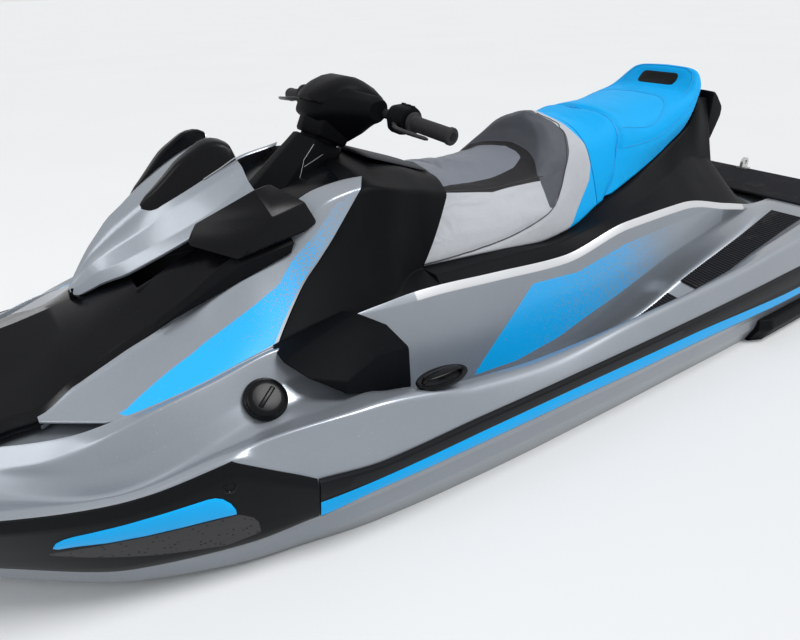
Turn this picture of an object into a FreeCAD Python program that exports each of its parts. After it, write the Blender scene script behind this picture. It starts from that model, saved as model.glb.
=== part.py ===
import FreeCAD, Part
import Sketcher
import math
import os

# Personal watercraft: three-seat runabout with a jet pump.
# Frame: +X to the bow, +Y to port, +Z up, origin at the waterline amidships.
# All lengths in millimetres.

V = FreeCAD.Vector
doc = FreeCAD.newDocument("personal_watercraft")

# ---------------------------------------------------------------- driving dimensions
SIZES = (
    # alias, value, meaning
    ("hull_length", 3350, "overall length"),
    ("hull_beam", 1224, "overall width over the rub rails"),
    ("draft", 280, "keel below the waterline"),
    ("seat_height", 793, "highest point of the rear seat above the waterline"),
    ("rail_stand", 12, "how far rub rail and bow bumper stand out of the side"),
    ("insert_stand", 3, "how far the coloured insert stands out of the bumper"),
    ("mat_thickness", 8, "traction mats"),
    ("soft_gap", 0.3, "clearance of a soft piece to its neighbour"),
    ("panel_gap", 6, "clearance of a moving piece to its neighbour"),
    ("pin_clearance", 0.05, "radial running clearance of a pin in its bore"),
    ("engine_length", 550, "engine block"),
    ("engine_width", 400, "engine block"),
    ("engine_height", 430, "engine block"),
    ("engine_clearance", 12, "engine block to the walls of its bay"),
    ("tub_length", 230, "inside length of the bow storage tub"),
    ("tub_width", 240, "inside width of the bow storage tub"),
    ("tub_wall", 4, "wall of the storage tub and of the glove box"),
    ("glove_length", 85, "inside length of the glove box"),
    ("glove_width", 180, "inside width of the glove box"),
    ("glove_depth", 110, "inside depth of the glove box"),
    ("lid_thickness", 14, "glove box lid"),
    ("tunnel_width", 320, "pump tunnel in the hull bottom"),
    ("pump_bore", 155, "inside diameter of the jet pump"),
    ("pump_wall", 17.5, "wall of the pump housing"),
    ("pump_length", 190, "straight part of the pump housing"),
    ("outlet_radius", 52, "outside radius of the fixed outlet tube"),
    ("outlet_wall", 8, "wall of outlet tube and steering nozzle"),
    ("nozzle_reach", 118, "steering nozzle behind its pivot"),
    ("nozzle_lip", 30, "steering nozzle ahead of its pivot"),
    ("nozzle_pin_radius", 6, "steering nozzle pivot bolts"),
    ("bucket_radius", 143, "outside radius of the reverse bucket"),
    ("bucket_wall", 8, "wall of the reverse bucket"),
    ("bucket_width", 244, "outside width of the reverse bucket"),
    ("bucket_pin_radius", 8, "reverse bucket pivot pins"),
    ("impeller_clearance", 1.5, "blade tip to pump bore"),
    ("shaft_radius", 14, "drive shaft"),
    ("bar_radius", 11, "handlebar tube"),
    ("bar_span", 760, "handlebar over the grips"),
    ("grip_length", 125, "handlebar grip"),
    ("grip_radius", 17, "handlebar grip"),
    ("column_pin_radius", 15, "steering shaft"),
    ("steering_tilt", 42, "steering axis behind the vertical, degrees"),
    ("cap_radius", 44, "fuel filler cap"),
    ("cap_height", 16, "fuel filler cap"),
    ("cleat_length", 104, "pull-up cleat"),
    ("cleat_width", 30, "pull-up cleat"),
    ("cleat_height", 14, "pull-up cleat"),
    ("eye_hole_radius", 10, "mooring eyes"),
    ("eye_radius", 22, "mooring eyes"),
    ("eye_thickness", 12, "mooring eyes"),
    ("lug_width", 20, "hood hinge lug on the bow cover"),
    ("lug_radius", 7, "hood hinge lug and ears around the pin"),
    ("ear_width", 8, "hood hinge ears"),
    ("hinge_pin_radius", 3.5, "hood hinge pin"),
    ("step_tube_radius", 12, "reboarding step tube"),
    ("step_width", 480, "reboarding step between the middles of its arms"),
    ("step_reach", 180, "reboarding step from pivot to tread"),
    ("step_pin_radius", 8, "reboarding step pivot pins"),
    ("plug_radius", 20, "drain plugs"),
)

sheet = doc.addObject("Spreadsheet::Sheet", "Sizes")
for row, (alias, value, meaning) in enumerate(SIZES, start=1):
    sheet.set("A%d" % row, meaning)
    sheet.set("B%d" % row, str(value))
    sheet.setAlias("B%d" % row, alias)
doc.recompute()


def size(alias):
    return float(sheet.get(alias))


# ---------------------------------------------------------------- lines of the body
# The lines are drawn at this size, and stretched to the sheet's length, beam,
# draft and seat height.
DRAWN_LENGTH = 3350.0
DRAWN_BEAM = 1224.0
DRAWN_DRAFT = 280.0
DRAWN_SEAT = 793.0


def along(x):
    return x * size("hull_length") / DRAWN_LENGTH


def across(y):
    half_inside = DRAWN_BEAM / 2 - 12
    return y * (size("hull_beam") / 2 - size("rail_stand")) / half_inside


def up(z):
    if z < 0:
        return z * size("draft") / DRAWN_DRAFT
    return z * size("seat_height") / DRAWN_SEAT


class Lines:
    """Offsets at stations along X, straight between stations."""

    def __init__(self, columns, rows):
        self.columns = columns.split()
        self.rows = rows
        self.stations = [row[0] for row in rows]

    def at(self, x, column):
        index = self.columns.index(column)
        for low, high in zip(self.rows, self.rows[1:]):
            if low[0] <= x <= high[0]:
                share = (x - low[0]) / (high[0] - low[0])
                return low[index] + share * (high[index] - low[index])
        raise ValueError("station %s is outside the lines" % x)

    def point(self, x, name):
        return (self.at(x, name + "_y"), self.at(x, name + "_z"))


# Hull: keel, chine, rail_low (joint of hull and deck), rail_top, and the inner
# joint between hull and deck (seam).
HULL = Lines(
    "x keel_z chine_y chine_z rail_low_y rail_low_z rail_top_y rail_top_z seam_y seam_z", (
        (-1663, -180, 440, 20, 533, 130, 543, 225, 425, 120),
        (-1600, -265, 462, -105, 548, 130, 556, 235, 440, 50),
        (-1450, -270, 472, -110, 563, 130, 571, 240, 450, 50),
        (-1200, -275, 480, -115, 576, 130, 584, 242, 460, 50),
        (-950, -280, 484, -118, 583, 131, 592, 242, 468, 50),
        (-700, -280, 488, -120, 588, 140, 597, 239, 472, 50),
        (-450, -280, 492, -120, 590, 148, 599, 236, 474, 50),
        (-200, -280, 494, -120, 592, 154, 600, 235, 475, 50),
        (50, -280, 492, -120, 591, 159, 600, 235, 475, 50),
        (300, -280, 482, -118, 588, 161, 596, 234, 472, 50),
        (550, -278, 455, -110, 574, 156, 584, 224, 460, 52),
        (680, -272, 425, -100, 538, 120, 553, 222, 430, 54),
        (820, -262, 378, -88, 508, 105, 529, 319, 405, 60),
        (1010, -235, 300, -60, 452, 110, 488, 292, 360, 85),
        (1200, -175, 190, -10, 363, 155, 418, 303, 290, 130),
        (1400, -70, 90, 60, 220, 195, 308, 328, 176, 180),
        (1550, 40, 30, 120, 104, 215, 183, 342, 83, 205),
        (1660, 150, 8, 170, 28, 225, 58, 350, 22, 218),
    ))

# Deck: gunwale crest, its inner edge, footwell floor outside and inside, and
# the edge on which seat base, console and bow cover stand.
DECK = Lines(
    "x crest_y crest_z inner_y inner_z floor_out_y floor_out_z floor_in_y floor_in_z edge_y edge_z", (
        (-1663, 522, 296, 495, 308, 455, 310, 320, 310, 290, 310),
        (-1600, 534, 304, 500, 314, 460, 316, 320, 316, 290, 316),
        (-1450, 542, 310, 502, 320, 462, 320, 320, 320, 290, 320),
        (-1300, 550, 314, 502, 326, 465, 322, 330, 322, 290, 322),
        (-1200, 553, 318, 500, 330, 468, 312, 350, 312, 300, 330),
        (-950, 556, 315, 500, 305, 468, 260, 375, 265, 330, 385),
        (-700, 560, 302, 508, 268, 474, 200, 385, 210, 330, 435),
        (-450, 562, 296, 512, 250, 478, 140, 400, 150, 330, 430),
        (-200, 562, 289, 514, 247, 480, 112, 408, 120, 330, 388),
        (50, 562, 275, 514, 254, 480, 110, 410, 120, 330, 405),
        (300, 562, 295, 505, 275, 460, 140, 405, 150, 335, 424),
        (400, 556, 318, 502, 300, 458, 230, 408, 250, 345, 425),
        (550, 548, 335, 498, 325, 455, 320, 410, 350, 355, 422),
        (680, 532, 335, 485, 322, 445, 330, 410, 360, 355, 408),
        (820, 508, 328, 465, 300, 445, 305, 418, 340, 358, 385),
        (1010, 465, 298, 432, 260, 415, 256, 390, 300, 345, 360),
        (1200, 385, 303, 342, 287, 322, 287, 290, 312, 250, 342),
        (1400, 275, 336, 240, 331, 222, 336, 192, 346, 160, 358),
        (1550, 158, 350, 130, 352, 112, 355, 92, 360, 72, 364),
        (1660, 42, 354, 36, 356, 30, 357, 25, 358, 20, 360),
    ))

# Foot of the console side. Behind the cups it stands back from the deck edge,
# so that the front of the seat meets the open air beside it.
LEDGE = Lines(
    "x foot_y foot_z", (
        (40, 252, 430),
        (205, 252, 432),
        (250, 262, 434),
        (300, 298, 433),
        (345, 332, 431),
        (400, 340, 437),
        (550, 349, 432),
        (680, 350, 416),
    ))

# Upper body ahead of the seat: shoulder (outer top edge of the side panels),
# crown, and the ridge on the centreline.
UPPER = Lines(
    "x shoulder_y shoulder_z crown_y crown_z ridge_z", (
        (40, 196, 572, 130, 598, 605),
        (122, 207, 592, 140, 628, 637),
        (200, 226, 617, 150, 655, 665),
        (312, 262, 652, 160, 674, 684),
        (354, 258, 665, 165, 680, 690),
        (460, 240, 622, 160, 640, 665),
        (550, 230, 582, 150, 600, 630),
        (600, 225, 562, 150, 595, 612),
        (720, 221, 500, 140, 560, 575),
        (780, 220, 462, 130, 540, 555),
        (850, 220, 434, 115, 515, 524),
        (900, 220, 418, 100, 490, 500),
        (950, 220, 398, 100, 460, 475),
        (1010, 220, 378, 130, 425, 462),
        (1130, 208, 364, 125, 390, 442),
        (1200, 200, 350, 120, 385, 430),
        (1400, 120, 364, 70, 385, 402),
        (1550, 55, 369, 30, 374, 380),
        (1660, 15, 362, 10, 364, 366),
    ))

# Seat base: facet (outer shoulder) and saddle (edge on which the cushions rest).
BASE = Lines(
    "x facet_y facet_z saddle_y saddle_z", (
        (-1145, 240, 354, 150, 372),
        (-1095, 214, 405, 150, 440),
        (-1050, 196, 476, 150, 520),
        (-1040, 194, 486, 140, 686),
        (-955, 198, 508, 170, 674),
        (-899, 206, 515, 182, 613),
        (-804, 228, 508, 192, 572),
        (-690, 252, 478, 204, 528),
        (-600, 272, 458, 224, 500),
        (-420, 296, 440, 244, 456),
        (-310, 300, 428, 262, 415),
        (-200, 300, 416, 266, 406),
        (-50, 300, 420, 266, 420),
        (100, 300, 428, 258, 426),
        (250, 305, 434, 250, 432),
    ))

# Cushions: lower edge, side (widest line), top edge and middle of the top.
FRONT_SEAT = Lines(
    "x low_y side_y side_z top_y top_z middle_z", (
        (-422, 235, 222, 560, 172, 650, 675),
        (-370, 240, 234, 565, 188, 662, 695),
        (-310, 246, 238, 555, 192, 662, 702),
        (-240, 250, 228, 520, 176, 612, 668),
        (-190, 252, 226, 505, 166, 584, 622),
        (-130, 252, 226, 500, 164, 580, 607),
        (-40, 252, 224, 502, 160, 584, 605),
        (90, 246, 214, 520, 150, 602, 628),
        (240, 240, 210, 520, 145, 605, 632),
    ))

REAR_SEAT = Lines(
    "x low_y side_y side_z top_y top_z middle_z", (
        (-1040, 118, 116, 722, 86, 744, 754),
        (-1010, 146, 150, 724, 122, 764, 780),
        (-955, 164, 176, 722, 142, 768, 792),
        (-925, 172, 186, 708, 150, 768, 793),
        (-862, 184, 192, 690, 158, 764, 788),
        (-800, 190, 196, 640, 160, 714, 745),
        (-750, 196, 200, 610, 160, 694, 725),
        (-600, 216, 208, 575, 164, 672, 705),
        (-426, 236, 218, 555, 172, 645, 673),
    ))

# Hood: lower edge, crease, top edge, ridge; its underside lies panel_gap above
# the bow cover.
HOOD = Lines(
    "x low_y low_z crease_y crease_z top_y top_z ridge_z", (
        (592, 203, 688, 150, 727, 90, 749, 757),
        (720, 172, 618, 128, 672, 70, 712, 736),
        (780, 140, 590, 112, 640, 60, 672, 692),
        (850, 104, 560, 84, 596, 44, 622, 636),
        (900, 76, 530, 60, 552, 34, 566, 576),
        (948, 30, 497, 24, 503, 14, 508, 512),
    ))


def stations_between(first, last, *tables):
    found = {first, last}
    for table in tables:
        found.update(x for x in table.stations if first < x < last)
    return sorted(found)


def section(x, half):
    """Closed outline across X from points of one side, mirrored to the other."""
    port = [V(along(x), across(y), up(z)) for y, z in half]
    starboard = [V(p.x, -p.y, p.z) for p in reversed(port) if abs(p.y) > 1e-6]
    return Part.makePolygon(port + starboard + [port[0]])


def side_section(x, outline, side=1, shift=()):
    """Closed outline across X on one side; shift moves points by real millimetres."""
    points = []
    for index, (y, z) in enumerate(outline):
        dy, dz = shift[index] if shift else (0, 0)
        points.append(V(along(x), side * (across(y) + dy), up(z) + dz))
    return Part.makePolygon(points + [points[0]])


def ruled(wires):
    return Part.makeLoft(wires, True, True)


def between(low, high, share):
    return (low[0] + share * (high[0] - low[0]), low[1] + share * (high[1] - low[1]))


nodes = []


def keep(obj, label):
    obj.Label = label
    nodes.append(obj)
    return obj


def feature(label, shape):
    """A sub-part whose shape comes from the lines above."""
    obj = doc.addObject("Part::Feature", label)
    obj.Shape = shape
    obj.Placement = shape.Placement
    return keep(obj, label)


def fuse(shapes):
    result = shapes[0]
    for shape in shapes[1:]:
        result = result.fuse(shape)
    return result.removeSplitter()


def box(low, high):
    return Part.makeBox(high[0] - low[0], high[1] - low[1], high[2] - low[2], V(*low))


def side_prism(outline, low_y, high_y):
    """A side view outline of real (x, z) points, from low_y to high_y."""
    points = [V(x, low_y, z) for x, z in outline]
    face = Part.Face(Part.makePolygon(points + [points[0]]))
    return face.extrude(V(0, high_y - low_y, 0))


def rod(start, end, radius):
    step = V(*end) - V(*start)
    return Part.makeCylinder(radius, step.Length, V(*start), step)


FAR = 3000.0

# Rear edge of bow panels and bow cover against the console, and front edge of
# the seat against the console: two slanted planes seen as lines from the side.
CONSOLE_FRONT = ((655, 405), (350, 680))
SEAT_FRONT = ((226, 412), (82, 610))


def half_space(line, gap, ahead):
    """Everything ahead of, or behind, a slanted line, gap millimetres away from it."""
    (low_x, low_z), (high_x, high_z) = line
    low = V(along(low_x), 0, up(low_z))
    high = V(along(high_x), 0, up(high_z))
    direction = (high - low).normalize()
    away = V(direction.z, 0, -direction.x)
    if not ahead:
        away = away * -1
    start = low + away * gap - direction * FAR
    end = low + away * gap + direction * FAR
    corners = [start, end, end + away * FAR, start + away * FAR]
    return side_prism([(p.x, p.z) for p in corners], -FAR, FAR)


# ---------------------------------------------------------------- jet drive places
PUMP_Z = up(-130)
PUMP_FRONT_X = along(-1100)
TUNNEL_ROOF_Z = up(30)
PUMP_REAR_X = PUMP_FRONT_X - size("pump_length")
CONE_LENGTH = 55.0
NOZZLE_X = PUMP_REAR_X - CONE_LENGTH - 75.0
BUCKET_X = NOZZLE_X
TRANSOM_X = along(-1600)
PUMP_RADIUS = size("pump_bore") / 2 + size("pump_wall")
DUCT_MOUTH_FRONT = along(-600)
DUCT_MOUTH_REAR = along(-980)
DUCT_HALF = size("pump_bore") / 2


def intake_duct():
    """Water way from the mouth in the keel up to the pump."""
    top = PUMP_Z + size("pump_bore") / 2
    bottom = PUMP_Z - size("pump_bore") / 2
    below = up(-300)
    outline = [(PUMP_FRONT_X, bottom), (PUMP_FRONT_X, top), (DUCT_MOUTH_FRONT, below),
               (DUCT_MOUTH_REAR, below), (DUCT_MOUTH_REAR - 40, bottom)]
    return side_prism(outline, -DUCT_HALF, DUCT_HALF)


def shaft_bore(clearance):
    start = (PUMP_FRONT_X, 0, PUMP_Z)
    end = (PUMP_FRONT_X + 230, 0, PUMP_Z)
    return rod(start, end, size("shaft_radius") + clearance)


# ---------------------------------------------------------------- steering axis
COLUMN_X, COLUMN_Z = along(410), up(640)
TILT = math.radians(size("steering_tilt"))
AXIS = V(-math.sin(TILT), 0, math.cos(TILT))
ACROSS_AXIS = V(math.cos(TILT), 0, math.sin(TILT))
SHROUD_TOP = 118.0
SHAFT_FOOT = 65.0


def on_axis(distance, forward=0.0, y=0.0):
    return V(COLUMN_X, y, COLUMN_Z) + AXIS * distance + ACROSS_AXIS * forward


def column_bore():
    """Bore of the steering shaft through the shroud and what lies under it."""
    radius = size("column_pin_radius") + size("pin_clearance")
    return rod(on_axis(SHAFT_FOOT - 5), on_axis(SHROUD_TOP + 1), radius)


# Hood hinge, on the bow cover just ahead of the hood's nose.
HINGE_X, HINGE_Z = along(948) + 7, up(475) + 9


# ---------------------------------------------------------------- engine bay
ENGINE_FRONT_X = along(130)
ENGINE_FLOOR_Z = up(-160)


def engine_bay():
    gap = size("engine_clearance")
    half = size("engine_width") / 2 + gap
    low = (ENGINE_FRONT_X - size("engine_length") - gap, -half, ENGINE_FLOOR_Z)
    high = (ENGINE_FRONT_X + gap, half, ENGINE_FLOOR_Z + size("engine_height") + gap)
    return box(low, high)


# ---------------------------------------------------------------- storage places
TUB_REAR_X = along(610)
TUB_FLOOR_Z = up(220)
GLOVE_FRONT_X = along(258)


def tub_hole(wall):
    half = size("tub_width") / 2 + wall
    low = (TUB_REAR_X - wall, -half, TUB_FLOOR_Z - wall)
    high = (TUB_REAR_X + size("tub_length") + wall, half, up(900))
    return box(low, high)


def hull():
    stations = [x for x in HULL.stations if x >= -1600]
    wires = []
    for x in stations:
        keel = (0, HULL.at(x, "keel_z"))
        half = [keel, HULL.point(x, "chine"), HULL.point(x, "rail_low"), HULL.point(x, "seam")]
        wires.append(section(x, half))
    body = ruled(wires)
    half = size("tunnel_width") / 2
    tunnel = box((-FAR, -half, up(-400)), (PUMP_FRONT_X, half, TUNNEL_ROOF_Z))
    for tool in (tunnel, intake_duct(), shaft_bore(size("pin_clearance")), engine_bay()):
        body = body.cut(tool)
    return feature("hull", body)


DECK_OUTLINE = ("crest", "inner", "floor_out", "floor_in", "edge")

# Flat pads on the deck, under the filler cap and under the two cleats. The cap's
# pad leans outwards with the deck.
CAP_X, CAP_Y, CAP_Z = along(714), across(430), up(352)
CAP_LEAN = math.radians(41)
CAP_AXIS = V(0, math.sin(CAP_LEAN), math.cos(CAP_LEAN))
CLEAT_X, CLEAT_Y, CLEAT_Z = along(365), across(530), up(322)


GUNWALE_FRONT = 550
PEDESTAL_REAR = -1285


def deck():
    """Floor of the footwells, rear platform, and the whole foredeck."""
    wires = []
    for x in stations_between(-1663, GUNWALE_FRONT, HULL, DECK):
        names = ("floor_out", "floor_in")
        half = [HULL.point(x, "seam"), HULL.point(x, "rail_low")]
        wires.append(section(x, half + [DECK.point(x, name) for name in names]))
    floor = ruled(wires)
    wires = []
    for x in stations_between(GUNWALE_FRONT, 1660, HULL, DECK):
        half = [HULL.point(x, "seam"), HULL.point(x, "rail_low"), HULL.point(x, "rail_top")]
        wires.append(section(x, half + [DECK.point(x, name) for name in DECK_OUTLINE]))
    body = floor.fuse(ruled(wires))
    seat = V(CAP_X, CAP_Y, CAP_Z)
    body = body.fuse(rod(seat - CAP_AXIS * 60, seat, size("cap_radius") + 4))
    body = body.cut(engine_bay()).cut(tub_hole(size("tub_wall")))
    return feature("deck", body)


def gunwales():
    """Side mouldings outside the footwells, each with the flat pad of its cleat."""
    parts = []
    for side, label in ((1, "gunwale_left"), (-1, "gunwale_right")):
        wires = []
        for x in stations_between(-1663, GUNWALE_FRONT, HULL, DECK):
            outline = [HULL.point(x, "rail_low"), HULL.point(x, "rail_top")]
            outline += [DECK.point(x, name) for name in ("crest", "inner", "floor_out")]
            wires.append(side_section(x, outline, side))
        long_half = size("cleat_length") / 2 + 4
        wide_half = size("cleat_width") / 2 + 4
        low = (CLEAT_X - long_half, side * CLEAT_Y - wide_half, up(250))
        high = (CLEAT_X + long_half, side * CLEAT_Y + wide_half, CLEAT_Z)
        parts.append(feature(label, ruled(wires).fuse(box(low, high))))
    return parts


def pedestal():
    """Hump between the footwells, which carries the seat base."""
    wires = []
    for x in stations_between(PEDESTAL_REAR, GUNWALE_FRONT, HULL, DECK):
        wires.append(section(x, [DECK.point(x, "floor_in"), DECK.point(x, "edge")]))
    return feature("pedestal", ruled(wires).cut(engine_bay()))


def rub_rail():
    stand = size("rail_stand")
    shift = ((0, 0), (stand, 4), (stand, -4), (0, 0))
    shapes = []
    for side in (1, -1):
        wires = []
        for x in stations_between(-1663, 676, HULL, DECK):
            low = HULL.point(x, "rail_low")
            top = HULL.point(x, "rail_top")
            wires.append(side_section(x, (low, low, top, top), side, shift))
        shapes.append(ruled(wires))
    stern_y = across(HULL.at(-1663, "rail_low_y")) + stand
    low = (along(-1663) - stand, -stern_y, up(130) + 4)
    high = (along(-1663), stern_y, up(225) - 4)
    shapes.append(box(low, high))
    return feature("rub_rail", fuse(shapes))


BUMPER_REAR = 678


def bow_bumper():
    stand = size("rail_stand")
    shift = ((0, 0), (stand, 0), (stand, 0), (0, 0))
    shapes = []
    for side in (1, -1):
        wires = []
        for x in stations_between(BUMPER_REAR, 1660, HULL, DECK):
            low = HULL.point(x, "rail_low")
            top = HULL.point(x, "rail_top")
            wires.append(side_section(x, (low, low, top, top), side, shift))
        shapes.append(ruled(wires))
    low_y, low_z = across(28) + stand, up(225)
    top_y, top_z = across(58) + stand, up(350)
    nose = []
    for x, inset in ((along(1660), 0), (along(1660) + 15, 12)):
        corners = [(low_y - inset, low_z + inset), (top_y - inset, top_z - inset)]
        points = [V(x, y, z) for y, z in corners] + [V(x, -y, z) for y, z in reversed(corners)]
        nose.append(Part.makePolygon(points + [points[0]]))
    shapes.append(ruled(nose))
    return feature("bow_bumper", fuse(shapes))


def bumper_inserts():
    stand = size("rail_stand")
    proud = stand + size("insert_stand")
    shift = ((stand, 0), (proud, 0), (proud, 0), (stand, 0))
    shapes = []
    for side in (1, -1):
        wires = []
        for x in stations_between(845, 1115, HULL, DECK):
            low = HULL.point(x, "rail_low")
            top = HULL.point(x, "rail_top")
            lower = between(low, top, 0.46)
            upper = between(low, top, 0.72)
            wires.append(side_section(x, (lower, lower, upper, upper), side, shift))
        shapes.append(ruled(wires))
    return feature("bumper_inserts", Part.makeCompound(shapes))


def upper_outline(x, names):
    return [UPPER.point(x, name) for name in names] + [(0, UPPER.at(x, "ridge_z"))]


def bow_panels():
    ahead = half_space(CONSOLE_FRONT, 0, True)
    shapes = []
    for side in (1, -1):
        wires = []
        for x in stations_between(345, 1130, HULL, DECK, UPPER):
            edge = DECK.point(x, "edge")
            shoulder = UPPER.point(x, "shoulder")
            wires.append(side_section(x, (edge, shoulder, (shoulder[0], edge[1])), side))
        shapes.append(ruled(wires).common(ahead))
    return feature("bow_panels", Part.makeCompound(shapes))


def bow_cover():
    wires = []
    for x in stations_between(345, 1660, HULL, DECK, UPPER):
        foot = (UPPER.at(x, "shoulder_y"), DECK.at(x, "edge_z"))
        wires.append(section(x, [foot] + upper_outline(x, ("shoulder", "crown"))))
    body = ruled(wires).common(half_space(CONSOLE_FRONT, 0, True))
    body = body.cut(tub_hole(size("tub_wall"))).cut(column_bore())
    half = size("lug_width") / 2
    reach = size("lug_radius")
    lug = box((HINGE_X - reach, -half, up(440)), (HINGE_X + reach, half, HINGE_Z))
    knuckle = rod((HINGE_X, -half, HINGE_Z), (HINGE_X, half, HINGE_Z), reach)
    ear_out = half + 2 + size("ear_width") + 2
    pin = rod((HINGE_X, -ear_out, HINGE_Z), (HINGE_X, ear_out, HINGE_Z), size("hinge_pin_radius"))
    return feature("bow_cover", body.fuse(lug).fuse(knuckle).fuse(pin).removeSplitter())


def storage_tub():
    rim_z = up(470)
    outer = tub_hole(size("tub_wall"))
    inner = tub_hole(0)
    lid_plane = box((-FAR, -FAR, rim_z), (FAR, FAR, FAR))
    return feature("storage_tub", outer.cut(inner).cut(lid_plane))


def glove_hole(wall):
    half = size("glove_width") / 2 + wall
    top_z = up(900)
    floor_z = up(640) - size("glove_depth")
    low = (GLOVE_FRONT_X - size("glove_length") - wall, -half, floor_z - wall)
    return box(low, (GLOVE_FRONT_X + wall, half, top_z))


# Glove box lid: front (hinge) and rear edge of its underside, seen from the side.
LID_FRONT = (268, 684)
LID_REAR = (96, 622)
LID_HALF_WIDTH = 118


def lid_slab(gap, thickness):
    front = V(along(LID_FRONT[0]), 0, up(LID_FRONT[1]))
    rear = V(along(LID_REAR[0]), 0, up(LID_REAR[1]))
    reach = (front - rear).normalize() * gap
    front, rear = front + reach, rear - reach
    outline = [(front.x, front.z), (rear.x, rear.z),
               (rear.x, rear.z + thickness), (front.x, front.z + thickness)]
    half = across(LID_HALF_WIDTH) + gap
    return side_prism(outline, -half, half)


def console():
    wires = []
    for x in stations_between(40, 680, HULL, DECK, UPPER, LEDGE):
        half = [DECK.point(x, "edge"), LEDGE.point(x, "foot")]
        half += upper_outline(x, ("shoulder", "crown"))
        wires.append(section(x, half))
    body = ruled(wires).common(half_space(CONSOLE_FRONT, 0, False))
    body = body.common(half_space(SEAT_FRONT, 0, True))
    room = lid_slab(size("panel_gap"), 200)
    room.translate(V(0, 0, -size("soft_gap")))
    for tool in (room, glove_hole(0), tub_hole(size("tub_wall")), column_bore()):
        body = body.cut(tool)
    return feature("console", body)


def glove_box_lid():
    return feature("glove_box_lid", lid_slab(0, size("lid_thickness")))


def splash_guards(neighbours):
    outline = [(668, 448), (535, 476), (436, 441), (374, 354), (368, 250), (512, 280), (650, 400)]
    points = [(along(x), up(z)) for x, z in outline]
    slope = ((300, 200), (300, 490), (404, 490), (486, 380), (486, 200))
    shapes = []
    for side in (1, -1):
        inner, outer = sorted((side * across(300), side * across(486)))
        leaning = ruled([side_section(x, slope, side) for x in (360, 680)])
        guard = side_prism(points, inner, outer).common(leaning)
        for other in neighbours:
            guard = guard.cut(other.Shape)
        shapes.append(max(guard.Solids, key=lambda solid: solid.Volume))
    return feature("splash_guards", Part.makeCompound(shapes))


def seat_base():
    wires = []
    for x in stations_between(-1145, 250, HULL, DECK, BASE):
        saddle = BASE.point(x, "saddle")
        wires.append(section(x, [DECK.point(x, "edge"), BASE.point(x, "facet"), saddle]))
    return feature("seat_base", ruled(wires).common(half_space(SEAT_FRONT, 0, False)))


def cushion(label, table, front_cut):
    lift = size("soft_gap")
    wires = []
    for x in stations_between(table.stations[0], table.stations[-1], HULL, DECK, BASE, table):
        low = (table.at(x, "low_y"), BASE.at(x, "saddle_z"))
        half = [low, table.point(x, "side"), table.point(x, "top"), (0, table.at(x, "middle_z"))]
        wire = section(x, half)
        wires.append(wire)
    body = ruled(wires)
    body.translate(V(0, 0, lift))
    if front_cut:
        body = body.common(half_space(SEAT_FRONT, lift, False))
    return feature(label, body)


def grab_handle(base_part, seat_part):
    outline = [(-1030, 530), (-1062, 520), (-1114, 622), (-1114, 652), (-1062, 702), (-1030, 706)]
    points = [(along(x), up(z)) for x, z in outline]
    half = across(158)
    body = side_prism(points, -half, half)
    hand = box((along(-1090), -across(105), up(300)), (along(-1000), across(105), up(800)))
    seat_room = box((along(-1040) - 1, -half - 1, up(686)), (along(-1000), half + 1, up(800)))
    body = body.cut(hand).cut(seat_room).cut(base_part.Shape).cut(seat_part.Shape)
    return feature("grab_handle", max(body.Solids, key=lambda solid: solid.Volume))


def footwell_mats():
    lift = size("mat_thickness")
    shift = ((0, 0), (0, lift), (0, lift), (0, 0))
    shapes = []
    for side in (1, -1):
        wires = []
        for x in stations_between(-1200, 280, HULL, DECK):
            outer = DECK.point(x, "floor_out")
            inner = DECK.point(x, "floor_in")
            near, far = between(outer, inner, 0.1), between(outer, inner, 0.9)
            wires.append(side_section(x, (near, near, far, far), side, shift))
        shapes.append(ruled(wires))
    return feature("footwell_mats", Part.makeCompound(shapes))


def rear_deck_mat():
    lift = size("mat_thickness")
    wires = []
    for x in stations_between(-1645, -1300, HULL, DECK):
        z = up(DECK.at(x, "edge_z"))
        half = across(445)
        points = [V(along(x), y, zz) for y, zz in
                  ((half, z), (half, z + lift), (-half, z + lift), (-half, z))]
        wires.append(Part.makePolygon(points + [points[0]]))
    return feature("rear_deck_mat", ruled(wires))


def sponsons():
    shapes = []
    for side in (1, -1):
        wires = []
        for x in stations_between(-1560, -855, HULL, DECK):
            chine = HULL.point(x, "chine")
            low = HULL.point(x, "rail_low")
            bottom, top = between(chine, low, 0.12), between(chine, low, 0.8)
            reach = 20 if x == -855 else 34
            shift = ((0, 0), (reach - 4, -14), (reach, 0), (0, 0))
            wires.append(side_section(x, (bottom, bottom, top, top), side, shift))
        shapes.append(ruled(wires))
    return feature("sponsons", Part.makeCompound(shapes))


# ---------------------------------------------------------------- PartDesign helpers
def new_body(label):
    body = doc.addObject("PartDesign::Body", label)
    return keep(body, label)


def origin_plane(body, role):
    return next(item for item in body.Origin.OriginFeatures if item.Role == role)


def value_of(expression):
    """Millimetres of a number or of an expression on the sheet's sizes."""
    sheet.set("D1", "=" + str(expression).replace("Sizes.", ""))
    sheet.recompute()
    return float(sheet.get("D1"))


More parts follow.
